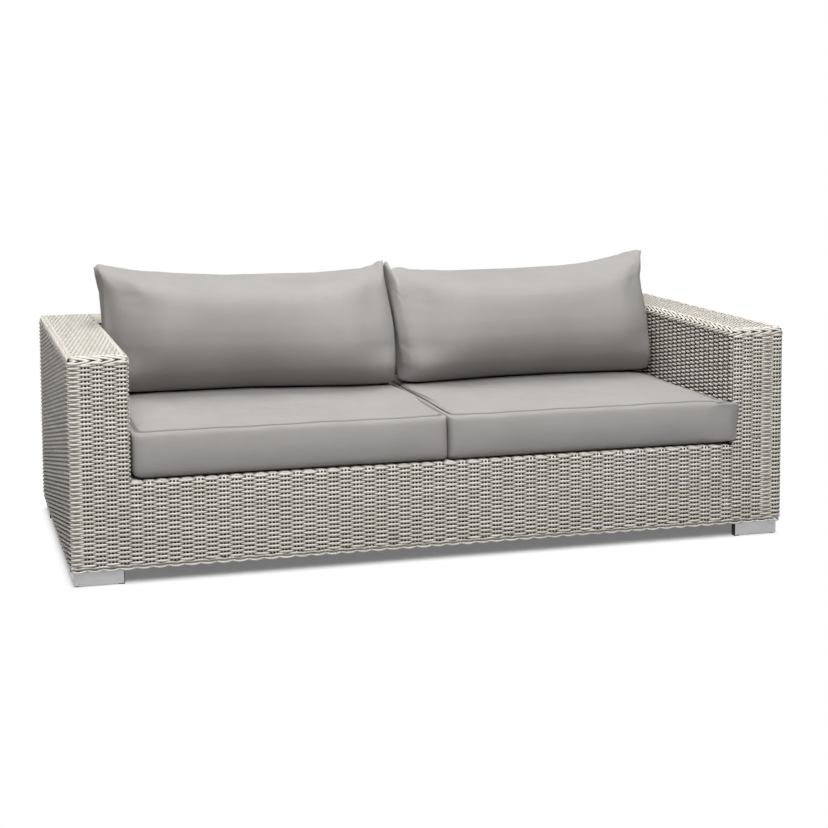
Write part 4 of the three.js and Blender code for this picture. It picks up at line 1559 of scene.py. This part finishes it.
def buildCamera():
    yaw, pitch, roll = (math.radians(view[key]) for key in ("yaw", "pitch", "roll"))
    ahead = Vector((math.sin(yaw) * math.cos(pitch), math.cos(yaw) * math.cos(pitch), -math.sin(pitch)))
    right = Vector((math.cos(yaw), -math.sin(yaw), 0))
    up = right.cross(ahead)
    tiltedRight = math.cos(roll) * right + math.sin(roll) * up
    tiltedUp = -math.sin(roll) * right + math.cos(roll) * up
    data = bpy.data.cameras.new("camera")
    data.sensor_width = view["sensor"]
    data.lens = view["focalPixels"] * view["sensor"] / view["imagePixels"]
    data.shift_y = (view["axisRow"] - view["imagePixels"] / 2) / view["imagePixels"]
    data.clip_end = view["clipEnd"]
    camera = bpy.data.objects.new("camera", data)
    camera.matrix_world = placing((tiltedRight, tiltedUp, -ahead), view["place"])
    bpy.context.collection.objects.link(camera)
    bpy.context.scene.camera = camera


# Floor, soft lights and a white surround

studio = {
    "floorSize": 24,
    "floorTone": 0.35,
    "floorTint": 0.95,
    # The floor glow: weaker under the sofa as a painted lift of its shadow, full just past the footprint,
    # which paints the shadow's edge there
    "paintedShadowLift": 0.17,
    "paintedShadowEdgeFrom": -0.025,
    "paintedShadowEdgeTo": 0.015,
    "world": 0.055,
    "aim": (0, 0, 0.35),
    "keyPlace": (-0.9, -3.8, 4.4),
    "keySize": 3.0,
    "keyWatts": 260,
    "topPlace": (0.2, 0.6, 4.5),
    "topSize": 4.5,
    "topWatts": 198,
}


def isSeen(material):
    # One where the camera, a mirror or a glass looks straight at the surface
    path = addNode(material, "ShaderNodeLightPath")
    seen = doMath(material, "MAXIMUM", path.outputs["Is Camera Ray"], path.outputs["Is Glossy Ray"])
    return doMath(material, "MAXIMUM", seen, path.outputs["Is Transmission Ray"])


def addLight(name, place, size, watts):
    bpy.ops.object.light_add(type="AREA", location=place)
    light = bpy.context.object
    light.name = name
    light.data.size = size
    light.data.energy = watts
    light.rotation_euler = (Vector(studio["aim"]) - Vector(place)).to_track_quat("-Z", "Y").to_euler()


def buildStudio():
    deselectAll()
    bpy.ops.mesh.primitive_plane_add(size=studio["floorSize"], location=(0, 0, 0))
    floor = bpy.context.object
    floor.name = "floor"
    material, shader = newMaterial("pale_floor", roughness=1, specular=0)
    tone, tint = studio["floorTone"], studio["floorTint"]
    colour = mixColour(material, isSeen(material), (tone, tone, tone, 1), (tint, tint, tint, 1))
    link(material, colour, shader.inputs["Base Color"])
    # Away from the sofa the floor glows into the white surround; the weaker glow under the sofa is a painted
    # lift of its shadow, and the rise of the glow just past the footprint paints the shadow's edge there
    across = partsOf(material, objectPlace(material))
    besideX = doMath(material, "SUBTRACT", doMath(material, "ABSOLUTE", across[0]), sideX)
    besideY = doMath(material, "SUBTRACT", doMath(material, "ABSOLUTE", across[1]), rearY)
    away = doMath(material, "MAXIMUM", besideX, besideY)
    share = remap(
        material, away, studio["paintedShadowEdgeFrom"], studio["paintedShadowEdgeTo"], studio["paintedShadowLift"], 1.0,
        interpolation_type="SMOOTHSTEP",
    )
    white = addNode(material, "ShaderNodeEmission", {0: (1, 1, 1, 1), 1: 1.0})
    seenShare = doMath(material, "MULTIPLY", share, isSeen(material))
    both = addNode(material, "ShaderNodeMixShader", {0: seenShare})
    link(material, shader.outputs[0], both.inputs[1])
    link(material, white.outputs[0], both.inputs[2])
    link(material, both.outputs[0], material.node_tree.nodes["Material Output"].inputs[0])
    floor.data.materials.append(material)
    addLight("key_light", studio["keyPlace"], studio["keySize"], studio["keyWatts"])
    addLight("top_light", studio["topPlace"], studio["topSize"], studio["topWatts"])
    world = bpy.data.worlds.new("white_surround")
    world.use_nodes = True
    path = addNode(world, "ShaderNodeLightPath").outputs
    seen = doMath(world, "MAXIMUM", path["Is Camera Ray"], path["Is Transmission Ray"])
    back = world.node_tree.nodes["Background"]
    back.inputs[0].default_value = (1, 1, 1, 1)
    link(world, remap(world, seen, 0.0, 1.0, studio["world"], 1.0), back.inputs[1])
    bpy.context.scene.world = world


buildCamera()
buildStudio()
bpy.context.scene.view_settings.view_transform = "Standard"
